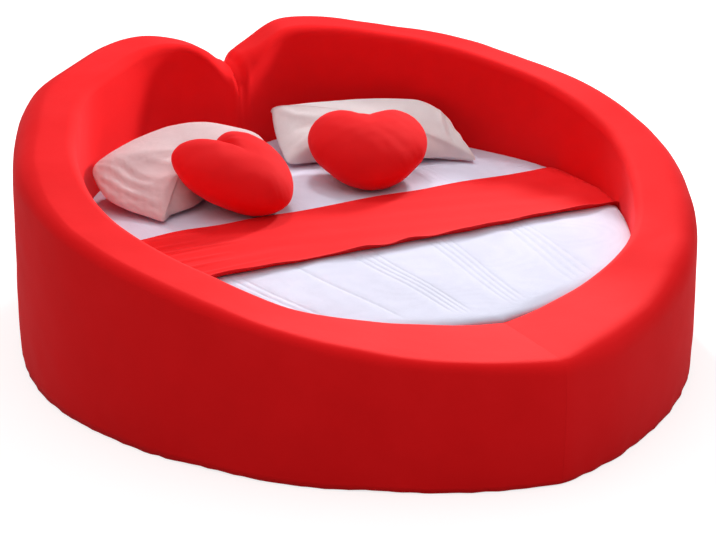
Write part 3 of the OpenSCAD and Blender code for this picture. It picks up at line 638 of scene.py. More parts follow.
def wall_cover(side, sign, seed):
    grid = wall_grid(sign)
    relief = wall_relief(grid, seed, sign)[..., None]
    normals = -grid_normals(grid)
    outer = grid + normals * relief
    inner = outer - normals * COVER_T
    # Both halves meet on the middle plane
    for sheet in (outer, inner):
        sheet[0, :, 0] = HALF_GAP
        sheet[-1, :, 0] = HALF_GAP
        sheet[..., 0] = np.maximum(sheet[..., 0], HALF_GAP)
    if sign < 0:
        outer, inner = mirrored(outer), mirrored(inner)
    obj = shell("cover_" + side, outer, inner, flip=sign > 0)
    obj.data.materials.append(wall_velvet)
    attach(obj, "bed_frame")
    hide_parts("wall_cover_" + side)
    return obj


def wall_foam(side, sign, seed):
    """Foam under the cover, drawn in wherever the cover is."""
    plain = wall_grid(sign)
    drawn = np.minimum(wall_relief(plain, seed, sign), 0) - COVER_T - FOAM_GAP
    grid = (plain - grid_normals(plain) * drawn[..., None])[::2, HEM_STEPS:-HEM_STEPS]
    every_other = [part[::2] for part in WALL_RINGS]
    inner = []
    for p, w, t, h, line in zip(*every_other, grid):
        depth = np.clip((line[:, :2] - p) @ w, PAD_T, t - PAD_T)
        height = np.minimum(line[:, 2], h - TOP_PAD_T)
        inner.append(np.column_stack([p + depth[:, None] * w, height]))
    inner = np.array(inner)
    grid[..., 2] = np.maximum(grid[..., 2], GLIDE_H)
    inner[..., 2] = np.maximum(inner[..., 2], GLIDE_H)
    for sheet in (grid, inner):
        sheet[..., 0] = np.maximum(sheet[..., 0], SEAT)
    if sign < 0:
        grid, inner = mirrored(grid), mirrored(inner)
    obj = shell("foam_" + side, grid, inner, flip=sign > 0)
    obj.data.materials.append(upholstery_foam)
    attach(obj, "bed_frame")
    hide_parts("wall_foam_" + side)


RIGHT_SEED = 3
LEFT_SEED = 8
cover_right = wall_cover("right", 1, RIGHT_SEED)
cover_left = wall_cover("left", -1, LEFT_SEED)
wall_foam("right", 1, RIGHT_SEED)
wall_foam("left", -1, LEFT_SEED)


# Mattress

def half_line(inward):
    """Inner face of the right half of the wall, moved inward."""
    outer, way, thick, _ = WALL_RINGS
    return outer + way * (thick + inward)[:, None]


def full_loop(inward):
    half = half_line(inward)
    return np.vstack([half, (half * (-1, 1))[-2:0:-1]])


SIDE_LINE = half_line(MATTRESS_PLAY)
HALF_MATTRESS = SIDE_LINE[:, 0].max()
WIDEST = int(SIDE_LINE[:, 0].argmax())


def head_y(x):
    part = SIDE_LINE[:WIDEST + 1]
    return np.interp(np.abs(x), part[:, 0], part[:, 1])


def foot_y(x):
    part = SIDE_LINE[WIDEST:][::-1]
    return np.interp(np.abs(x), part[:, 0], part[:, 1])


def mattress_top(x, y):
    """Height of the mattress without its channels."""
    flat = np.stack([np.abs(x), y], axis=-1)
    edge, _ = along_line(flat, SIDE_LINE[::2])
    d = np.minimum(edge / SHOULDER, 1)
    across = np.maximum(0, 1 - (x / HALF_MATTRESS) ** 2)
    along = np.maximum(0, 1 - ((y - HUB_Y) / HALF_MATTRESS) ** 2)
    return (QUILT_Z + QUILT_RIM + (QUILT_EDGE_T - QUILT_RIM) * np.sqrt(1 - (1 - d) ** 2)
            + CROWN_H * across * along)


GROUP_SHARES = (-0.668, -0.15, 0.165, 0.492)
GROUP_LINES = 4
LONE_LINE_SHARE = -0.417
STITCH_XS = [g * HALF_MATTRESS + (k - (GROUP_LINES - 1) / 2) * CHANNEL_PITCH
             for g in GROUP_SHARES for k in range(GROUP_LINES)]
STITCH_XS.append(LONE_LINE_SHARE * HALF_MATTRESS)
DRAWN = 0.35
DRAWN_WIDTHS = (0.6, 0.4)
DRAWN_IN = (0.1, 0.8)
WANDER = 0.0015
# The channels end this far from the foot, and farther in the middle
END_GAP = 0.04
MIDDLE_GAP = 0.10
HEAD_FADE = (-0.2, -0.12)
LINE_W = 0.006
VALLEY_W = 0.014
VALLEY_SHARE = 0.4
STITCH_PITCH = 0.009
STITCH_SHARE = 0.15
# Depth of a channel, and the share of it that is left near the head
CHANNEL_DIP = 0.42 * CHANNEL_H
HEAD_SHARE = 0.25


def channels(x, y):
    """Depth of the stitched channels and of the shallow valleys beside them."""
    depth = np.zeros_like(x)
    # The two groups near the middle draw together towards the foot
    drawn = 1 - DRAWN * ease(-y, *DRAWN_IN) * bell(x, np.where(x < 0, *DRAWN_WIDTHS))
    for s in STITCH_XS:
        off = x - s * drawn - WANDER * np.sin(9 * y + 40 * s)
        depth = np.maximum(depth, bell(off, LINE_W))
        depth = np.maximum(depth, VALLEY_SHARE * bell(off, VALLEY_W))
    reach = END_GAP + MIDDLE_GAP * bell(x, 0.4)
    fade = ease(y - foot_y(x), 0.2 * reach, reach)
    fade = fade * (HEAD_SHARE + (1 - HEAD_SHARE) * ease(-y, *HEAD_FADE))
    stitches = 1 - STITCH_SHARE + STITCH_SHARE * np.cos(2 * math.pi * y / STITCH_PITCH)
    return CHANNEL_DIP * depth * fade * stitches


EDGE_ROWS = 12
EDGE_COLUMNS = 26
OVERHANG = 0.012
OVERHANG_ROWS = 0.2
MIDDLE_ROWS = 150
COLUMN_PITCH = 0.0033
END_W = 0.0001
EDGE_SHARE = 0.4
QUILT_UNEVEN = 0.0008
SCALLOP_H = 0.0016
SCALLOP_PITCH = 0.045
SCALLOP_REACH = 0.12


def quilted_top():
    shoulder = 1 - np.cos(np.linspace(0, math.pi / 2, EDGE_COLUMNS))
    near_edge = HALF_MATTRESS - SHOULDER * shoulder
    inside = np.arange(0, HALF_MATTRESS - SHOULDER, COLUMN_PITCH)
    half = np.concatenate([inside, near_edge[::-1]])
    xs = np.concatenate([-half[:0:-1], half])
    # The outermost columns have a width, so that the outline doesn't close to a point
    xs[0] += END_W
    xs[-1] -= END_W
    y0, y1 = foot_y(xs), head_y(xs)
    overhang = OVERHANG * ease(HALF_MATTRESS - np.abs(xs), 0.02, 0.25)
    y0 -= overhang
    edge = np.minimum(SHOULDER, EDGE_SHARE * (y1 - y0))
    turn = 1 - np.cos(np.linspace(0, math.pi / 2, EDGE_ROWS))
    low = y0[:, None] + edge[:, None] * turn
    high = (y1[:, None] - edge[:, None] * turn)[:, ::-1]
    middle = np.linspace(0, 1, MIDDLE_ROWS)[1:-1]
    mid = low[:, -1:] + (high[:, :1] - low[:, -1:]) * middle
    ys = np.concatenate([low, mid, high], axis=1)
    x = np.repeat(xs[:, None], ys.shape[1], axis=1)
    fade = 1 - ease(ys - y0[:, None], 0.0, OVERHANG_ROWS)
    z = mattress_top(x, ys + overhang[:, None] * fade)
    spots = np.stack([x, ys, z], axis=-1)
    from_side, _ = along_line(np.stack([np.abs(x), ys], axis=-1), SIDE_LINE[::4])
    inward = ease(from_side, 0.0, 0.03)
    z = z - channels(x, ys) + QUILT_UNEVEN * inward * ripples(spots, 0.3, 21)
    # Small scallops where the cover is gathered at the right side
    gather = bell(x - HALF_MATTRESS, SCALLOP_REACH) * ease(ys, -0.4, -0.1)
    z += SCALLOP_H * inward * gather * np.sin(2 * math.pi * ys / SCALLOP_PITCH)
    top = np.stack([x, ys, z], axis=-1)
    base = top.copy()
    base[..., 2] = QUILT_Z
    obj = shell("quilted_mattress_top", top, base, flip=True)
    obj.data.materials.append(knit)
    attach(obj, "mattress")
    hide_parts("quilted_top")


quilted_top()

BAND_ROWS = 15
BAND_BULGE = 0.0015
BORDER_Z = MATTRESS_Z + BASE_PANEL_T + SEAT
BORDER_TOP = QUILT_Z - SEAT


def at_height(plane, z):
    return np.hstack([plane, np.full((len(plane), 1), z)])


def side_band():
    """Band that runs round the mattress, drawn in at its seams at the top and bottom."""
    outer = full_loop(MATTRESS_PLAY)
    way = to_hub(outer)
    out, back = [], []
    for v in np.linspace(0, 1, BAND_ROWS):
        drawn = BAND_BULGE * (1 - np.sin(math.pi * v) ** 0.5)
        z = BORDER_Z + (BORDER_TOP - BORDER_Z) * v
        out.append(at_height(outer + way * drawn, z))
        back.append(at_height(outer + way * BORDER_T, z))
    faces = grid_faces(2 * BAND_ROWS, len(outer), ring=True, closed=True)
    obj = new_object("mattress_side_band", np.concatenate(out + back[::-1]), faces)
    obj.data.materials.append(ticking)
    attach(obj, "mattress")
    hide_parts("mattress_border")


side_band()

SLAB_RINGS = (0.0, 0.35, 0.7)
SLAB_ARC_STEPS = 5


def slab(name, inward, low, high, material, node, round_by):
    """Flat piece with the mattress's outline and softly rounded edges."""
    loop = full_loop(inward)
    way = to_hub(loop)
    middle = np.array([0, HUB_Y])
    angles = np.radians(np.linspace(0, 90, SLAB_ARC_STEPS))
    drawn = round_by * (1 - np.sin(angles))
    climb = round_by * (1 - np.cos(angles))
    # Rings by their share of the outline, how far they are drawn in, and height
    profile = [(f, 0, low) for f in SLAB_RINGS]
    profile += [(1, d, low + c) for d, c in zip(drawn, climb)]
    profile += [(1, d, high - c) for d, c in zip(drawn[::-1], climb[::-1])]
    profile += [(f, 0, high) for f in SLAB_RINGS[::-1]]
    rings = [at_height(middle + (loop - middle) * f + way * d, z) for f, d, z in profile]
    obj = new_object(name, np.concatenate(rings), grid_faces(len(rings), len(loop), ring=True))
    work = bmesh.new()
    work.from_mesh(obj.data)
    bmesh.ops.remove_doubles(work, verts=work.verts, dist=WELD)
    work.to_mesh(obj.data)
    work.free()
    obj.data.materials.append(material)
    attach(obj, "mattress")
    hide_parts(node)


slab("mattress_foam_core", MATTRESS_PLAY + BORDER_T + SEAT, BORDER_Z, BORDER_TOP, core_foam,
     "mattress_core", 0.006)
slab("mattress_base_cloth", MATTRESS_PLAY, MATTRESS_Z, MATTRESS_Z + BASE_PANEL_T, ticking,
     "mattress_base_panel", 0.0015)


# Runner

# Wrinkles along the runner's left end: points, width, height
RUNNER_WRINKLES = [
    ([(-0.90, 0.060), (-0.70, 0.048), (-0.42, 0.040)], 0.007, 0.006),
    ([(-0.88, 0.040), (-0.68, 0.030), (-0.46, 0.026)], 0.006, -0.003),
    ([(-0.84, -0.015), (-0.66, -0.035), (-0.50, -0.030)], 0.007, 0.006),
    ([(-0.80, -0.085), (-0.66, -0.095), (-0.52, -0.088)], 0.006, 0.005),
    ([(-0.90, 0.120), (-0.74, 0.112), (-0.55, 0.118)], 0.008, 0.005),
    ([(-0.74, -0.145), (-0.58, -0.150), (-0.38, -0.140)], 0.008, 0.003),
]
LIE_GAP = 0.0012
RUNNER_ROWS = 61
DROP_STEPS = 16
TURN_STEPS = 14
SPAN_STEPS = 110
LEFT_FOLD_H = 0.0017
RIGHT_FOLD_H = 0.0012
RUNNER_SLACK = 0.0012
EDGE_LIFT = 0.0022
EDGE_LIFT_W = 0.022
# The ripples are shorter across the runner than along it
RIPPLE_STRETCH = np.array([[1, 0, 0], [0, 2.2, 0]])
FRONT_BOW = 0.024
FRONT_BOW_X = 0.12
FRONT_HEM = 0.013
UNDERCUT = 0.018


def runner_grid():
    """Points across the runner; the height is nan where it lies on the mattress."""
    ys = np.linspace(-RUNNER_BACK - RUNNER_W / 2, -RUNNER_BACK + RUNNER_W / 2, RUNNER_ROWS)
    part = SIDE_LINE[::-1]
    part = part[:int(part[:, 1].argmax()) + 1]
    reach = np.interp(ys, part[:, 1], part[:, 0])
    drop = np.linspace(1, 0, DROP_STEPS)
    turn = 1 - np.cos(np.linspace(0, math.pi / 2, TURN_STEPS))[1:]
    rows = []
    for y, x in zip(ys, reach):
        side = [(x + 2 * SEAT, QUILT_Z + QUILT_RIM - TUCK_H * d) for d in drop]
        side += [(x - SHOULDER * t, np.nan) for t in turn]
        side += [(v, np.nan) for v in np.linspace(x - SHOULDER, 0, SPAN_STEPS)[1:]]
        left = [(-v, z) for v, z in side[:-1]]
        rows.append([(v, y, z) for v, z in left + side[::-1]])
    return np.array(rows, float)


def runner_folds(x, across):
    """Height of the folds that run along the runner, most of them at its left end."""
    wrinkle = np.sin(2 * math.pi * (3.1 * across + 0.28 * x) + 0.6 + 0.5 * np.sin(7 * x))
    folds = LEFT_FOLD_H * ease(-x, 0.15, 0.8) * (1 + wrinkle) ** 2
    wave = np.sin(2 * math.pi * (1.7 * across - 0.4 * x))
    folds += RIGHT_FOLD_H * ease(x, 0.35, 0.8) * (1 + wave)
    flat = np.stack([x, across * RUNNER_W], axis=-1)
    for line, wide, high in RUNNER_WRINKLES:
        folds += crease(flat, line, wide, high)
    return folds


def runner():
    grid = runner_grid()
    x, y = grid[..., 0], grid[..., 1]
    lying = np.isnan(grid[..., 2])
    across = (y + RUNNER_BACK) / RUNNER_W
    height = mattress_top(x, y) + LIE_GAP + runner_folds(x, across)
    height += RUNNER_SLACK * (1 + ripples(grid[..., :2] @ RIPPLE_STRETCH, 0.24, 31))
    uneven = 1 + 0.8 * ripples(np.nan_to_num(grid), 0.16, 33)
    height += EDGE_LIFT * bell(0.5 - np.abs(across), EDGE_LIFT_W) * uneven
    grid[..., 2] = np.where(lying, height, grid[..., 2])
    # The front edge wanders a little and bows forward in the middle
    wander = 0.0035 * np.sin(15 * x + 1.1 * np.sin(5 * x)) + 0.002 * np.sin(41 * x)
    fullness = FRONT_BOW * bell(x - FRONT_BOW_X, 0.5)
    grid[..., 1] += ease(-across, 0.40, 0.5) * lying * (wander - fullness)
    upper = grid.copy()
    hem = FRONT_HEM * ease(-across, 0.42, 0.485) * (1 + 0.3 * np.sin(21 * x + 2 * np.sin(8 * x)))
    upper[..., 0] += np.where(lying, 0, RUNNER_T * np.sign(x))
    upper[..., 2] += np.where(lying, RUNNER_T + hem, 0)
    # The front hem is rolled under
    grid[..., 1] += np.where(lying, UNDERCUT * ease(-across, 0.46, 0.5), 0)
    obj = shell("cross_runner", upper, grid, flip=True)
    obj.data.materials.append(cushion_velvet_painted_shade)
    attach(obj, "runner")
    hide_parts("runner")


runner()


# Pillows and cushions

RIGHT_SEAM_SHARES = [
    (0.000, 0.000, 0.10), (0.150, 0.040, 0.12), (0.280, -0.050, 0.13), (0.420, -0.125, 0.14),
    (0.560, -0.120, 0.14), (0.690, -0.030, 0.12), (0.865, -0.014, 0.10), (1.000, -0.060, 0.06),
    (0.960, 0.122, 0.33), (0.927, 0.243, 0.52), (0.907, 0.378, 0.67), (0.858, 0.540, 0.81),
    (0.794, 0.676, 0.87), (0.649, 0.743, 0.90), (0.479, 0.770, 0.90), (0.309, 0.762, 0.90),
    (0.155, 0.743, 0.88), (0.046, 0.735, 0.85), (-0.053, 0.735, 0.81), (-0.056, 0.725, 0.79),
    (-0.058, 0.514, 0.60), (-0.050, 0.324, 0.40), (-0.034, 0.162, 0.23),
]
LEFT_SEAM_SHARES = [
    (-0.066, -0.014, 0.06), (0.000, 0.000, 0.10), (0.160, -0.048, 0.12), (0.357, -0.005, 0.14),
    (0.480, -0.070, 0.15), (0.620, -0.080, 0.15), (0.800, -0.020, 0.14), (0.958, 0.070, 0.15),
    (0.997, 0.162, 0.40), (0.994, 0.268, 0.62), (0.904, 0.443, 0.84), (0.835, 0.622, 0.92),
    (0.743, 0.760, 0.95), (0.618, 0.878, 0.93), (0.430, 0.930, 0.90), (0.201, 0.919, 0.83),
    (0.019, 0.870, 0.77), (-0.043, 0.754, 0.55), (-0.074, 0.595, 0.30), (-0.080, 0.386, 0.17),
    (-0.073, 0.162, 0.10),
]
RIGHT_MIDDLE_SHARE = (0.47, 0.33)
LEFT_MIDDLE_SHARE = (0.47, 0.36)
PUFF_SHARE = 0.45
RUNNER_HIGH = 0.009


def settle(obj):
    """Flattens a cushion where it lies on the mattress or the runner."""
    spots = np.empty(len(obj.data.vertices) * 3)
    obj.data.vertices.foreach_get("co", spots)
    spots = spots.reshape(-1, 3)
    x, y = spots[:, 0], spots[:, 1]
    on_runner = np.abs(y + RUNNER_BACK) < RUNNER_W / 2 + RUNNER_T
    least = mattress_top(x, y) + LIE_GAP + RUNNER_HIGH * on_runner
    spots[:, 2] = np.maximum(spots[:, 2], least)
    obj.data.vertices.foreach_set("co", spots.ravel())
    obj.data.update()


PUFF_POWER = 0.55


def rise(f):
    """Height of a stuffed form from 1 in its middle to 0 at its seam."""
    return np.maximum(0, 1 - f * f) ** PUFF_POWER


def closed_curve(table, steps):
    """Smooth closed line through the points of a table."""
    table = np.array(table)
    n = len(table)
    return np.array([curve(table[i - 1], table[i], table[(i + 1) % n], table[(i + 2) % n],
                           j / steps) for i in range(n) for j in range(steps)])


def puff(name, top, bottom):
    """Closed cushion from its seam to its middle above and below."""
    rows, columns = top.shape[:2]
    count = rows * columns
    middles = [top[-1].mean(axis=0), bottom[-1].mean(axis=0)]
    points = np.concatenate([top.reshape(-1, 3), bottom[1:].reshape(-1, 3), middles])
    inmost = count - columns
    faces = grid_faces(rows, columns, 0, True, ring=True)
    faces += grid_faces(rows - 1, columns, count, False, ring=True)
    for j in range(columns):
        n = (j + 1) % columns
        faces.append((j, n, count + n, count + j))
        faces.append((inmost + n, inmost + j, len(points) - 2))
        faces.append((2 * inmost + j, 2 * inmost + n, len(points) - 1))
    return new_object(name, points, [f[::-1] for f in faces])


CUSHION_RINGS = np.sin(np.linspace(math.pi / 2, 0.03, 34))
SEAM_STEPS = 12
PILLOW_SLACK = ((0.0012, 0.24), (0.0003, 0.08))
CRUMPLE_H = 0.001
CRUMPLE_SIZE = 0.035
# Folds of the right pillow's case at both ends: points in shares, width, height
RIGHT_FOLDS = [
    ([(-0.03, 0.70), (0.06, 0.50), (0.16, 0.42)], 0.014, 0.006),
    ([(0.02, 0.30), (0.10, 0.34), (0.20, 0.30)], 0.020, -0.005),
    ([(0.02, 0.08), (0.12, 0.18), (0.22, 0.16)], 0.016, 0.005),
    ([(0.86, 0.50), (0.84, 0.25), (0.87, 0.02)], 0.010, 0.007),
    ([(0.89, 0.30), (0.88, 0.14), (0.91, 0.00)], 0.008, -0.005),
    ([(0.93, 0.24), (0.94, 0.10), (0.98, 0.00)], 0.008, 0.006),
    ([(0.70, 0.66), (0.78, 0.50), (0.80, 0.30)], 0.022, 0.004),
    ([(0.30, 0.70), (0.50, 0.66), (0.70, 0.68)], 0.018, 0.003),
]
# The left pillow's case is crumpled at its open end and has a fold at the front
LEFT_FOLDS = [
    ([(-0.02, 0.78), (-0.01, 0.50), (0.00, 0.20), (0.03, 0.04)], 0.009, 0.004),
    ([(0.02, 0.80), (0.03, 0.50), (0.04, 0.22)], 0.007, -0.0035),
    ([(0.05, 0.78), (0.06, 0.52), (0.08, 0.26), (0.13, 0.08)], 0.008, 0.004),
    ([(0.09, 0.70), (0.10, 0.50), (0.12, 0.32)], 0.007, -0.003),
    ([(0.12, 0.66), (0.13, 0.46), (0.17, 0.24), (0.24, 0.10)], 0.009, 0.003),
    ([(0.20, 0.56), (0.20, 0.40), (0.25, 0.22)], 0.010, -0.002),
    ([(0.25, 0.52), (0.32, 0.28), (0.37, 0.02)], 0.012, 0.007),
    ([(0.42, 0.46), (0.44, 0.24), (0.42, 0.02)], 0.020, -0.006),
    ([(0.16, 0.02), (0.26, 0.04), (0.36, 0.02)], 0.010, 0.005),
]


def case_relief(points, folds, seed, crumple):
    """Slack of a pillow's case, with its folds and a crumpled left end where asked."""
    size = np.array([PILLOW_L, PILLOW_W])
    shares = points[..., :2] / size
    total = slack(points, PILLOW_SLACK, seed)
    crumpled = crumple * ease(-shares[..., 0], -0.24, -0.02)
    total = total + crumpled * ripples(points * (2.2, 0.8, 0.5), CRUMPLE_SIZE, seed + 2)
    for line, wide, high in folds:
        total = total + crease(shares * size, np.array(line) * size, wide, high)
    return total


def pillow(side, table, middle_share, corner, turn, relief, cloth):
    line = closed_curve(table, SEAM_STEPS)
    seam = line[:, :2] * (PILLOW_L, PILLOW_W)
    zs = line[:, 2] * PILLOW_H
    flat = zs.mean()
    middle = np.array(middle_share) * (PILLOW_L, PILLOW_W)
    top, bottom = [], []
    for f in CUSHION_RINGS:
        plane = middle + (seam - middle) * f
        height = flat + (zs - flat) * f + PUFF_SHARE * PILLOW_H * rise(f)
        top.append(np.column_stack([plane, height]))
        bottom.append(np.column_stack([plane, zs * max(0, (f - 0.5) * 2) ** 1.6]))
    top, bottom = np.array(top), np.array(bottom)
    inward = ease(1 - CUSHION_RINGS, 0, 0.02)[:, None]
    normals = grid_normals(np.concatenate([top, top[:, :1]], axis=1))[:, :-1]
    normals *= np.where(normals[..., 2:3] < 0, -1, 1)
    top = top + normals * (case_relief(top, *relief) * inward)[..., None]
    obj = puff("pillow_case_" + side, top, bottom)
    obj.data.transform(Matrix.Translation((*corner, CUSHION_Z))
                       @ Matrix.Rotation(math.radians(turn), 4, "Z"))
    settle(obj)
    obj.data.materials.append(cloth)
    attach(obj, "pillow_" + side)
    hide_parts("pillow_" + side)


pillow("right", RIGHT_SEAM_SHARES, RIGHT_MIDDLE_SHARE, RIGHT_CORNER, RIGHT_TURN,
       (RIGHT_FOLDS, 41, 0), linen)
pillow("left", LEFT_SEAM_SHARES, LEFT_MIDDLE_SHARE, LEFT_CORNER, LEFT_TURN,
       (LEFT_FOLDS, 51, CRUMPLE_H), linen_painted_wall_reflection)

# Half outlines from the dip to the tip, as shares of the half width and of the length
LEFT_HEART_SHARES = [
    (0.00, 0.83), (0.00, 0.83), (0.09, 0.90), (0.24, 0.965), (0.43, 1.00), (0.62, 0.98),
    (0.80, 0.90), (0.91, 0.76), (0.95, 0.61), (0.90, 0.43), (0.76, 0.28), (0.56, 0.15),
    (0.34, 0.05), (0.14, 0.008), (0.00, 0.00),
]
RIGHT_HEART_SHARES = [
    (0.00, 0.945), (0.22, 0.96), (0.42, 0.99), (0.62, 0.985), (0.82, 0.91), (0.96, 0.77),
    (1.00, 0.61), (0.93, 0.42), (0.76, 0.27), (0.54, 0.12), (0.28, 0.03), (0.00, 0.00),
]
HEART_STEPS = 10
HEART_RINGS = np.sin(np.linspace(math.pi / 2, 0.02, 44))
HEART_SLACK = ((0.0014, 0.2), (0.0003, 0.06))
PUCKER_H = 0.0006
PUCKER_REACH = 0.10
PLEAT_H = 0.0013
PLEAT_AT = 0.05
PLEAT_REACH = 0.055
# Width and reach of the furrow at the heart's dip and of the hollow round it
FURROW_W, FURROW_REACH = 0.013, 0.08
HOLLOW_W, HOLLOW_REACH = 0.06, 0.12


def heart_line(half):
    """Closed outline from the dip, and the angle that runs round it."""
    table = half + [(-x, y) for x, y in half[-2:0:-1]]
    line = closed_curve(table, HEART_STEPS)
    if half[0] == half[1]:
        # A doubled first point gives a sharp dip, and its two empty spans are left out
        line = line[HEART_STEPS:-HEART_STEPS]
    angle = np.linspace(0, 2 * math.pi, len(line), endpoint=False)
    return (line - (0, 0.5)) * (HEART_W / 2, HEART_L), angle


def heart_relief(seam, f, angle, sign, seed, furrow, hollow):
    """Height of a ring's puckers, pleats, furrow and slack, which fades at the seam."""
    plane = seam * f
    # The seam is drawn in, and short puckers run from it towards the middle
    puckers = bell(1 - f, PUCKER_REACH) * np.sin(40 * angle + seed + 2 * np.sin(5 * angle))
    from_dip = plane - seam[0]
    reach = np.linalg.norm(from_dip, axis=1)
    ray = np.arctan2(from_dip[:, 0], -from_dip[:, 1])
    pleats = bell(reach - PLEAT_AT, PLEAT_REACH) * np.cos(8.5 * ray + sign) * bell(ray, 1.1)
    sunk = furrow * bell(plane[:, 0], FURROW_W) * bell(reach, FURROW_REACH)
    sunk += hollow * bell(plane[:, 0], HOLLOW_W) * bell(reach, HOLLOW_REACH)
    flat = np.column_stack([plane, np.full(len(seam), sign * 0.1)])
    relief = PUCKER_H * puckers + PLEAT_H * pleats - sunk + slack(flat, HEART_SLACK, seed)
    return relief * ease(1 - f, 0.0, 0.03)


def heart(side, half, middle, turns, seed, furrow, hollow):
    seam, angle = heart_line(half)
    sheets = []
    for sign in (1, -1):
        rows = []
        for f in HEART_RINGS:
            relief = heart_relief(seam, f, angle, sign, seed, furrow, hollow)
            rows.append(np.column_stack([seam * f, sign * (HEART_T / 2 * rise(f) + relief)]))
        sheets.append(np.array(rows))
    obj = puff("heart_cushion_cover_" + side, *sheets)
    tilt, yaw, roll = [math.radians(t) for t in turns]
    obj.data.transform(Matrix.Translation(middle) @ Matrix.Rotation(yaw, 4, "Z")
                       @ Matrix.Rotation(tilt, 4, "X") @ Matrix.Rotation(roll, 4, "Z"))
    settle(obj)
    obj.data.materials.append(cushion_velvet_painted_shade)
    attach(obj, "heart_cushion_" + side)
    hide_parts("heart_cushion_" + side)


def heart_middle(corner, share, lift):
    """Middle of a heart by its share of the pillow's length and of its own length."""
    return (corner[0] + share[0] * PILLOW_L, corner[1] + share[1] * PILLOW_L,
            CUSHION_Z + lift * HEART_L)


# Tilt, yaw and roll of each heart, in degrees
LEFT_HEART_TURNS = (17.76, 26.3, -10.54)
RIGHT_HEART_TURNS = (15.47, -22.06, -2.23)
LEFT_HEART_MIDDLE = heart_middle(LEFT_CORNER, (0.401, 0.013), 0.27242)
RIGHT_HEART_MIDDLE = heart_middle(RIGHT_CORNER, (0.28077, -0.35912), 0.26533)
heart("left", LEFT_HEART_SHARES, LEFT_HEART_MIDDLE, LEFT_HEART_TURNS, 61, 0.016, 0.007)
heart("right", RIGHT_HEART_SHARES, RIGHT_HEART_MIDDLE, RIGHT_HEART_TURNS, 71, 0.001, 0.010)


# Felt glides and webbing

def islands(node):
    """Lowest and highest corner of each separate solid of a CAD node."""
    work = bmesh.new()
    work.from_mesh(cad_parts[node].data)
    bmesh.ops.remove_doubles(work, verts=work.verts, dist=WELD)
    left = set(work.verts)
    found = []
    while left:
        stack = [left.pop()]
        group = []
        while stack:
            vert = stack.pop()
            group.append(vert.co.copy())
            for edge in vert.link_edges:
                other = edge.other_vert(vert)
                if other in left:
                    left.remove(other)
                    stack.append(other)
        co = np.array(group)
        found.append((co.min(axis=0), co.max(axis=0)))
    work.free()
    return found


# Half section of a glide, as shares of its radius and height
GLIDE_PROFILE = [(0.0, 0.0), (0.93, 0.0), (0.99, 0.12), (1.0, 0.3), (1.0, 0.75), (0.98, 1.0),
                 (0.0, 1.0)]
GLIDE_SIDES = 36
GLIDE_WEAR = 0.006


def glides(name, node):
    """Round felt glides in place of a node's solids, worn a little out of round."""
    points, faces = [], []
    for low, high in islands(node):
        middle = (low + high) / 2
        radius = (high[0] - low[0]) / 2
        first = len(points)
        for share, level in GLIDE_PROFILE:
            for k in range(GLIDE_SIDES):
                a = 2 * math.pi * k / GLIDE_SIDES
                r = radius * share * (1 + GLIDE_WEAR * math.sin(5 * a + 40 * middle[0]))
                points.append((middle[0] + r * math.cos(a), middle[1] + r * math.sin(a),
                               low[2] + (high[2] - low[2]) * level))
        faces += grid_faces(len(GLIDE_PROFILE), GLIDE_SIDES, first, False, ring=True)
    obj = new_object(name, points, faces)
    obj.data.materials.append(felt)
    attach(obj, "bed_frame")
    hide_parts(node)


glides("felt_glides_wall", "floor_glides")
glides("felt_glides_legs", "leg_glides")


SLAT_PITCH = 0.115
SLAT_W = 0.07
STRAP_STEP = 0.006
STRAP_SAG = 0.0016


def webbing():
    """Straps stapled to each slat, a little slack between them."""
    points, faces = [], []
    longest = 0.0
    for low, high in islands("slat_webbing"):
        length = high[1] - low[1]
        longest = max(longest, length)
        ys = np.linspace(low[1], high[1], max(2, int(length / STRAP_STEP)))
        first = len(points)
        for y in ys:
            gap = ((y - low[1]) % SLAT_PITCH - SLAT_W) / (SLAT_PITCH - SLAT_W)
            sag = STRAP_SAG * math.sin(math.pi * gap) if gap > 0 else 0.0
            corners = ((low[0], low[2]), (high[0], low[2]), (high[0], high[2]), (low[0], high[2]))
            points += [(x, y, z - sag) for x, z in corners]
        faces += grid_faces(len(ys), 4, first, False, ring=True)
        last = first + (len(ys) - 1) * 4
        faces += [(first, first + 1, first + 2, first + 3)]
        faces += [(last + 3, last + 2, last + 1, last)]
    obj = new_object("slat_straps", points, faces)
    obj.data.materials.append(webbing_cloth)
    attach(obj, "bed_frame")
    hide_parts("slat_webbing")


webbing()

# Finishes of the rigid CAD nodes, of which some have a left and a right one
NODE_FINISHES = {
    "centre_beam": pine_y, "centre_legs": pine_z, "leg_dowels": dowel_wood, "join_bolts": steel,
    "join_nuts": steel, "join_washers": steel, "beam_screws": steel,
}
PAIRED_FINISHES = {
    "outer_panel": birch, "inner_panel": birch, "top_strip": birch, "base_plate": birch,
    "uprights": pine_z, "battens": birch, "slats": pine_x,
}
for part_name, finish in PAIRED_FINISHES.items():
    NODE_FINISHES[part_name + "_left"] = finish
    NODE_FINISHES[part_name + "_right"] = finish
for node_name, finish in NODE_FINISHES.items():
    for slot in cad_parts[node_name].material_slots:
        slot.material = finish


# Studio

# Lamps by place, radius and power: one behind the head, one above its right side
LAMPS = {"back": ((0.9, 2.0, 3.0), 0.25, 12.8), "side": ((1.32, 0.95, 1.25), 0.10, 32)}


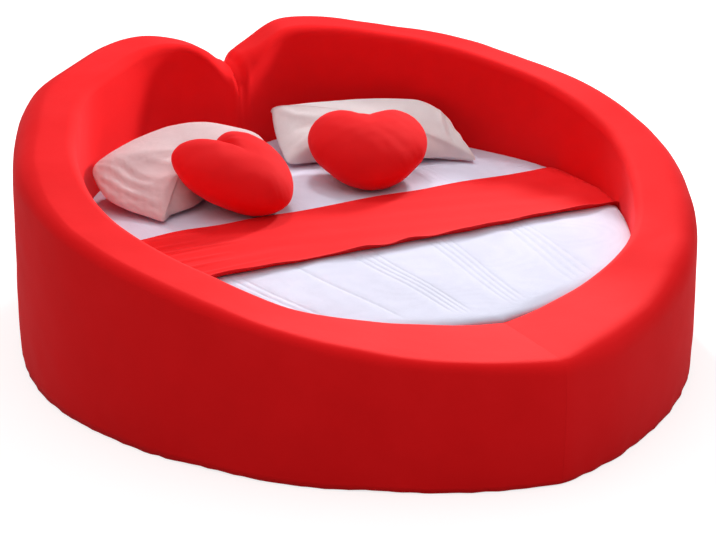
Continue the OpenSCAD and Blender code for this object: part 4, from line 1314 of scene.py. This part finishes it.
def lamp(name, at, radius, power):
    """Round lamp whose light doesn't weaken with distance."""
    data = bpy.data.lights.new(name, "POINT")
    data.shadow_soft_size = radius
    data.energy = power
    data.use_nodes = True
    tree = data.node_tree
    falloff = tree.nodes.new("ShaderNodeLightFalloff")
    falloff.inputs["Strength"].default_value = 1
    tree.links.new(falloff.outputs["Constant"], tree.nodes["Emission"].inputs["Strength"])
    light = bpy.data.objects.new(name, data)
    light.location = at
    light.visible_camera = False
    bpy.context.scene.collection.objects.link(light)


def seen_directly(tree):
    """1 on the rays that show a surface to the viewer, in glass or in a mirror too."""
    path = tree.nodes.new("ShaderNodeLightPath")
    total = path.outputs["Is Camera Ray"]
    for name in ("Is Glossy Ray", "Is Transmission Ray"):
        total = calculated(tree, "MAXIMUM", total, path.outputs[name])
    return total


FLOOR_HALF = 40.0
FLOOR_GREY = (0.5, 0.49, 0.49, 1)
FLOOR_GLOW = 0.72
SKY_LOW = 0.2
SKY_RISE = 1.0


def white_floor():
    points = [(-FLOOR_HALF, -FLOOR_HALF, 0), (FLOOR_HALF, -FLOOR_HALF, 0),
              (FLOOR_HALF, FLOOR_HALF, 0), (-FLOOR_HALF, FLOOR_HALF, 0)]
    floor = new_object("floor", points, [(0, 1, 2, 3)])
    n = Nodes("white_floor")
    n.set(Base_Color=FLOOR_GREY, Roughness=0.9, Specular_IOR_Level=0.0)
    n.set(Emission_Color=(1, 1, 1, 1))
    n.join(calculated(n.tree, "MULTIPLY", seen_directly(n.tree), FLOOR_GLOW),
           n.shader.inputs["Emission Strength"])
    floor.data.materials.append(n.material)


def white_surroundings():
    """Soft light from all round, stronger from above, in front of plain white."""
    world = bpy.data.worlds.new("studio")
    world.use_nodes = True
    tree = world.node_tree
    back = tree.nodes["Background"]
    back.inputs["Color"].default_value = (1, 1, 1, 1)
    place = tree.nodes.new("ShaderNodeTexCoord")
    parts = tree.nodes.new("ShaderNodeSeparateXYZ")
    tree.links.new(place.outputs["Generated"], parts.inputs["Vector"])
    height = calculated(tree, "MULTIPLY", parts.outputs["Z"], parts.outputs["Z"])
    glow = calculated(tree, "ADD", calculated(tree, "MULTIPLY", height, SKY_RISE), SKY_LOW)
    shown = calculated(tree, "MAXIMUM", glow, seen_directly(tree))
    tree.links.new(shown, back.inputs["Strength"])
    bpy.context.scene.world = world
    bpy.context.scene.view_settings.view_transform = "Standard"


for lamp_name, settings in LAMPS.items():
    lamp(lamp_name, *settings)
white_floor()
white_surroundings()
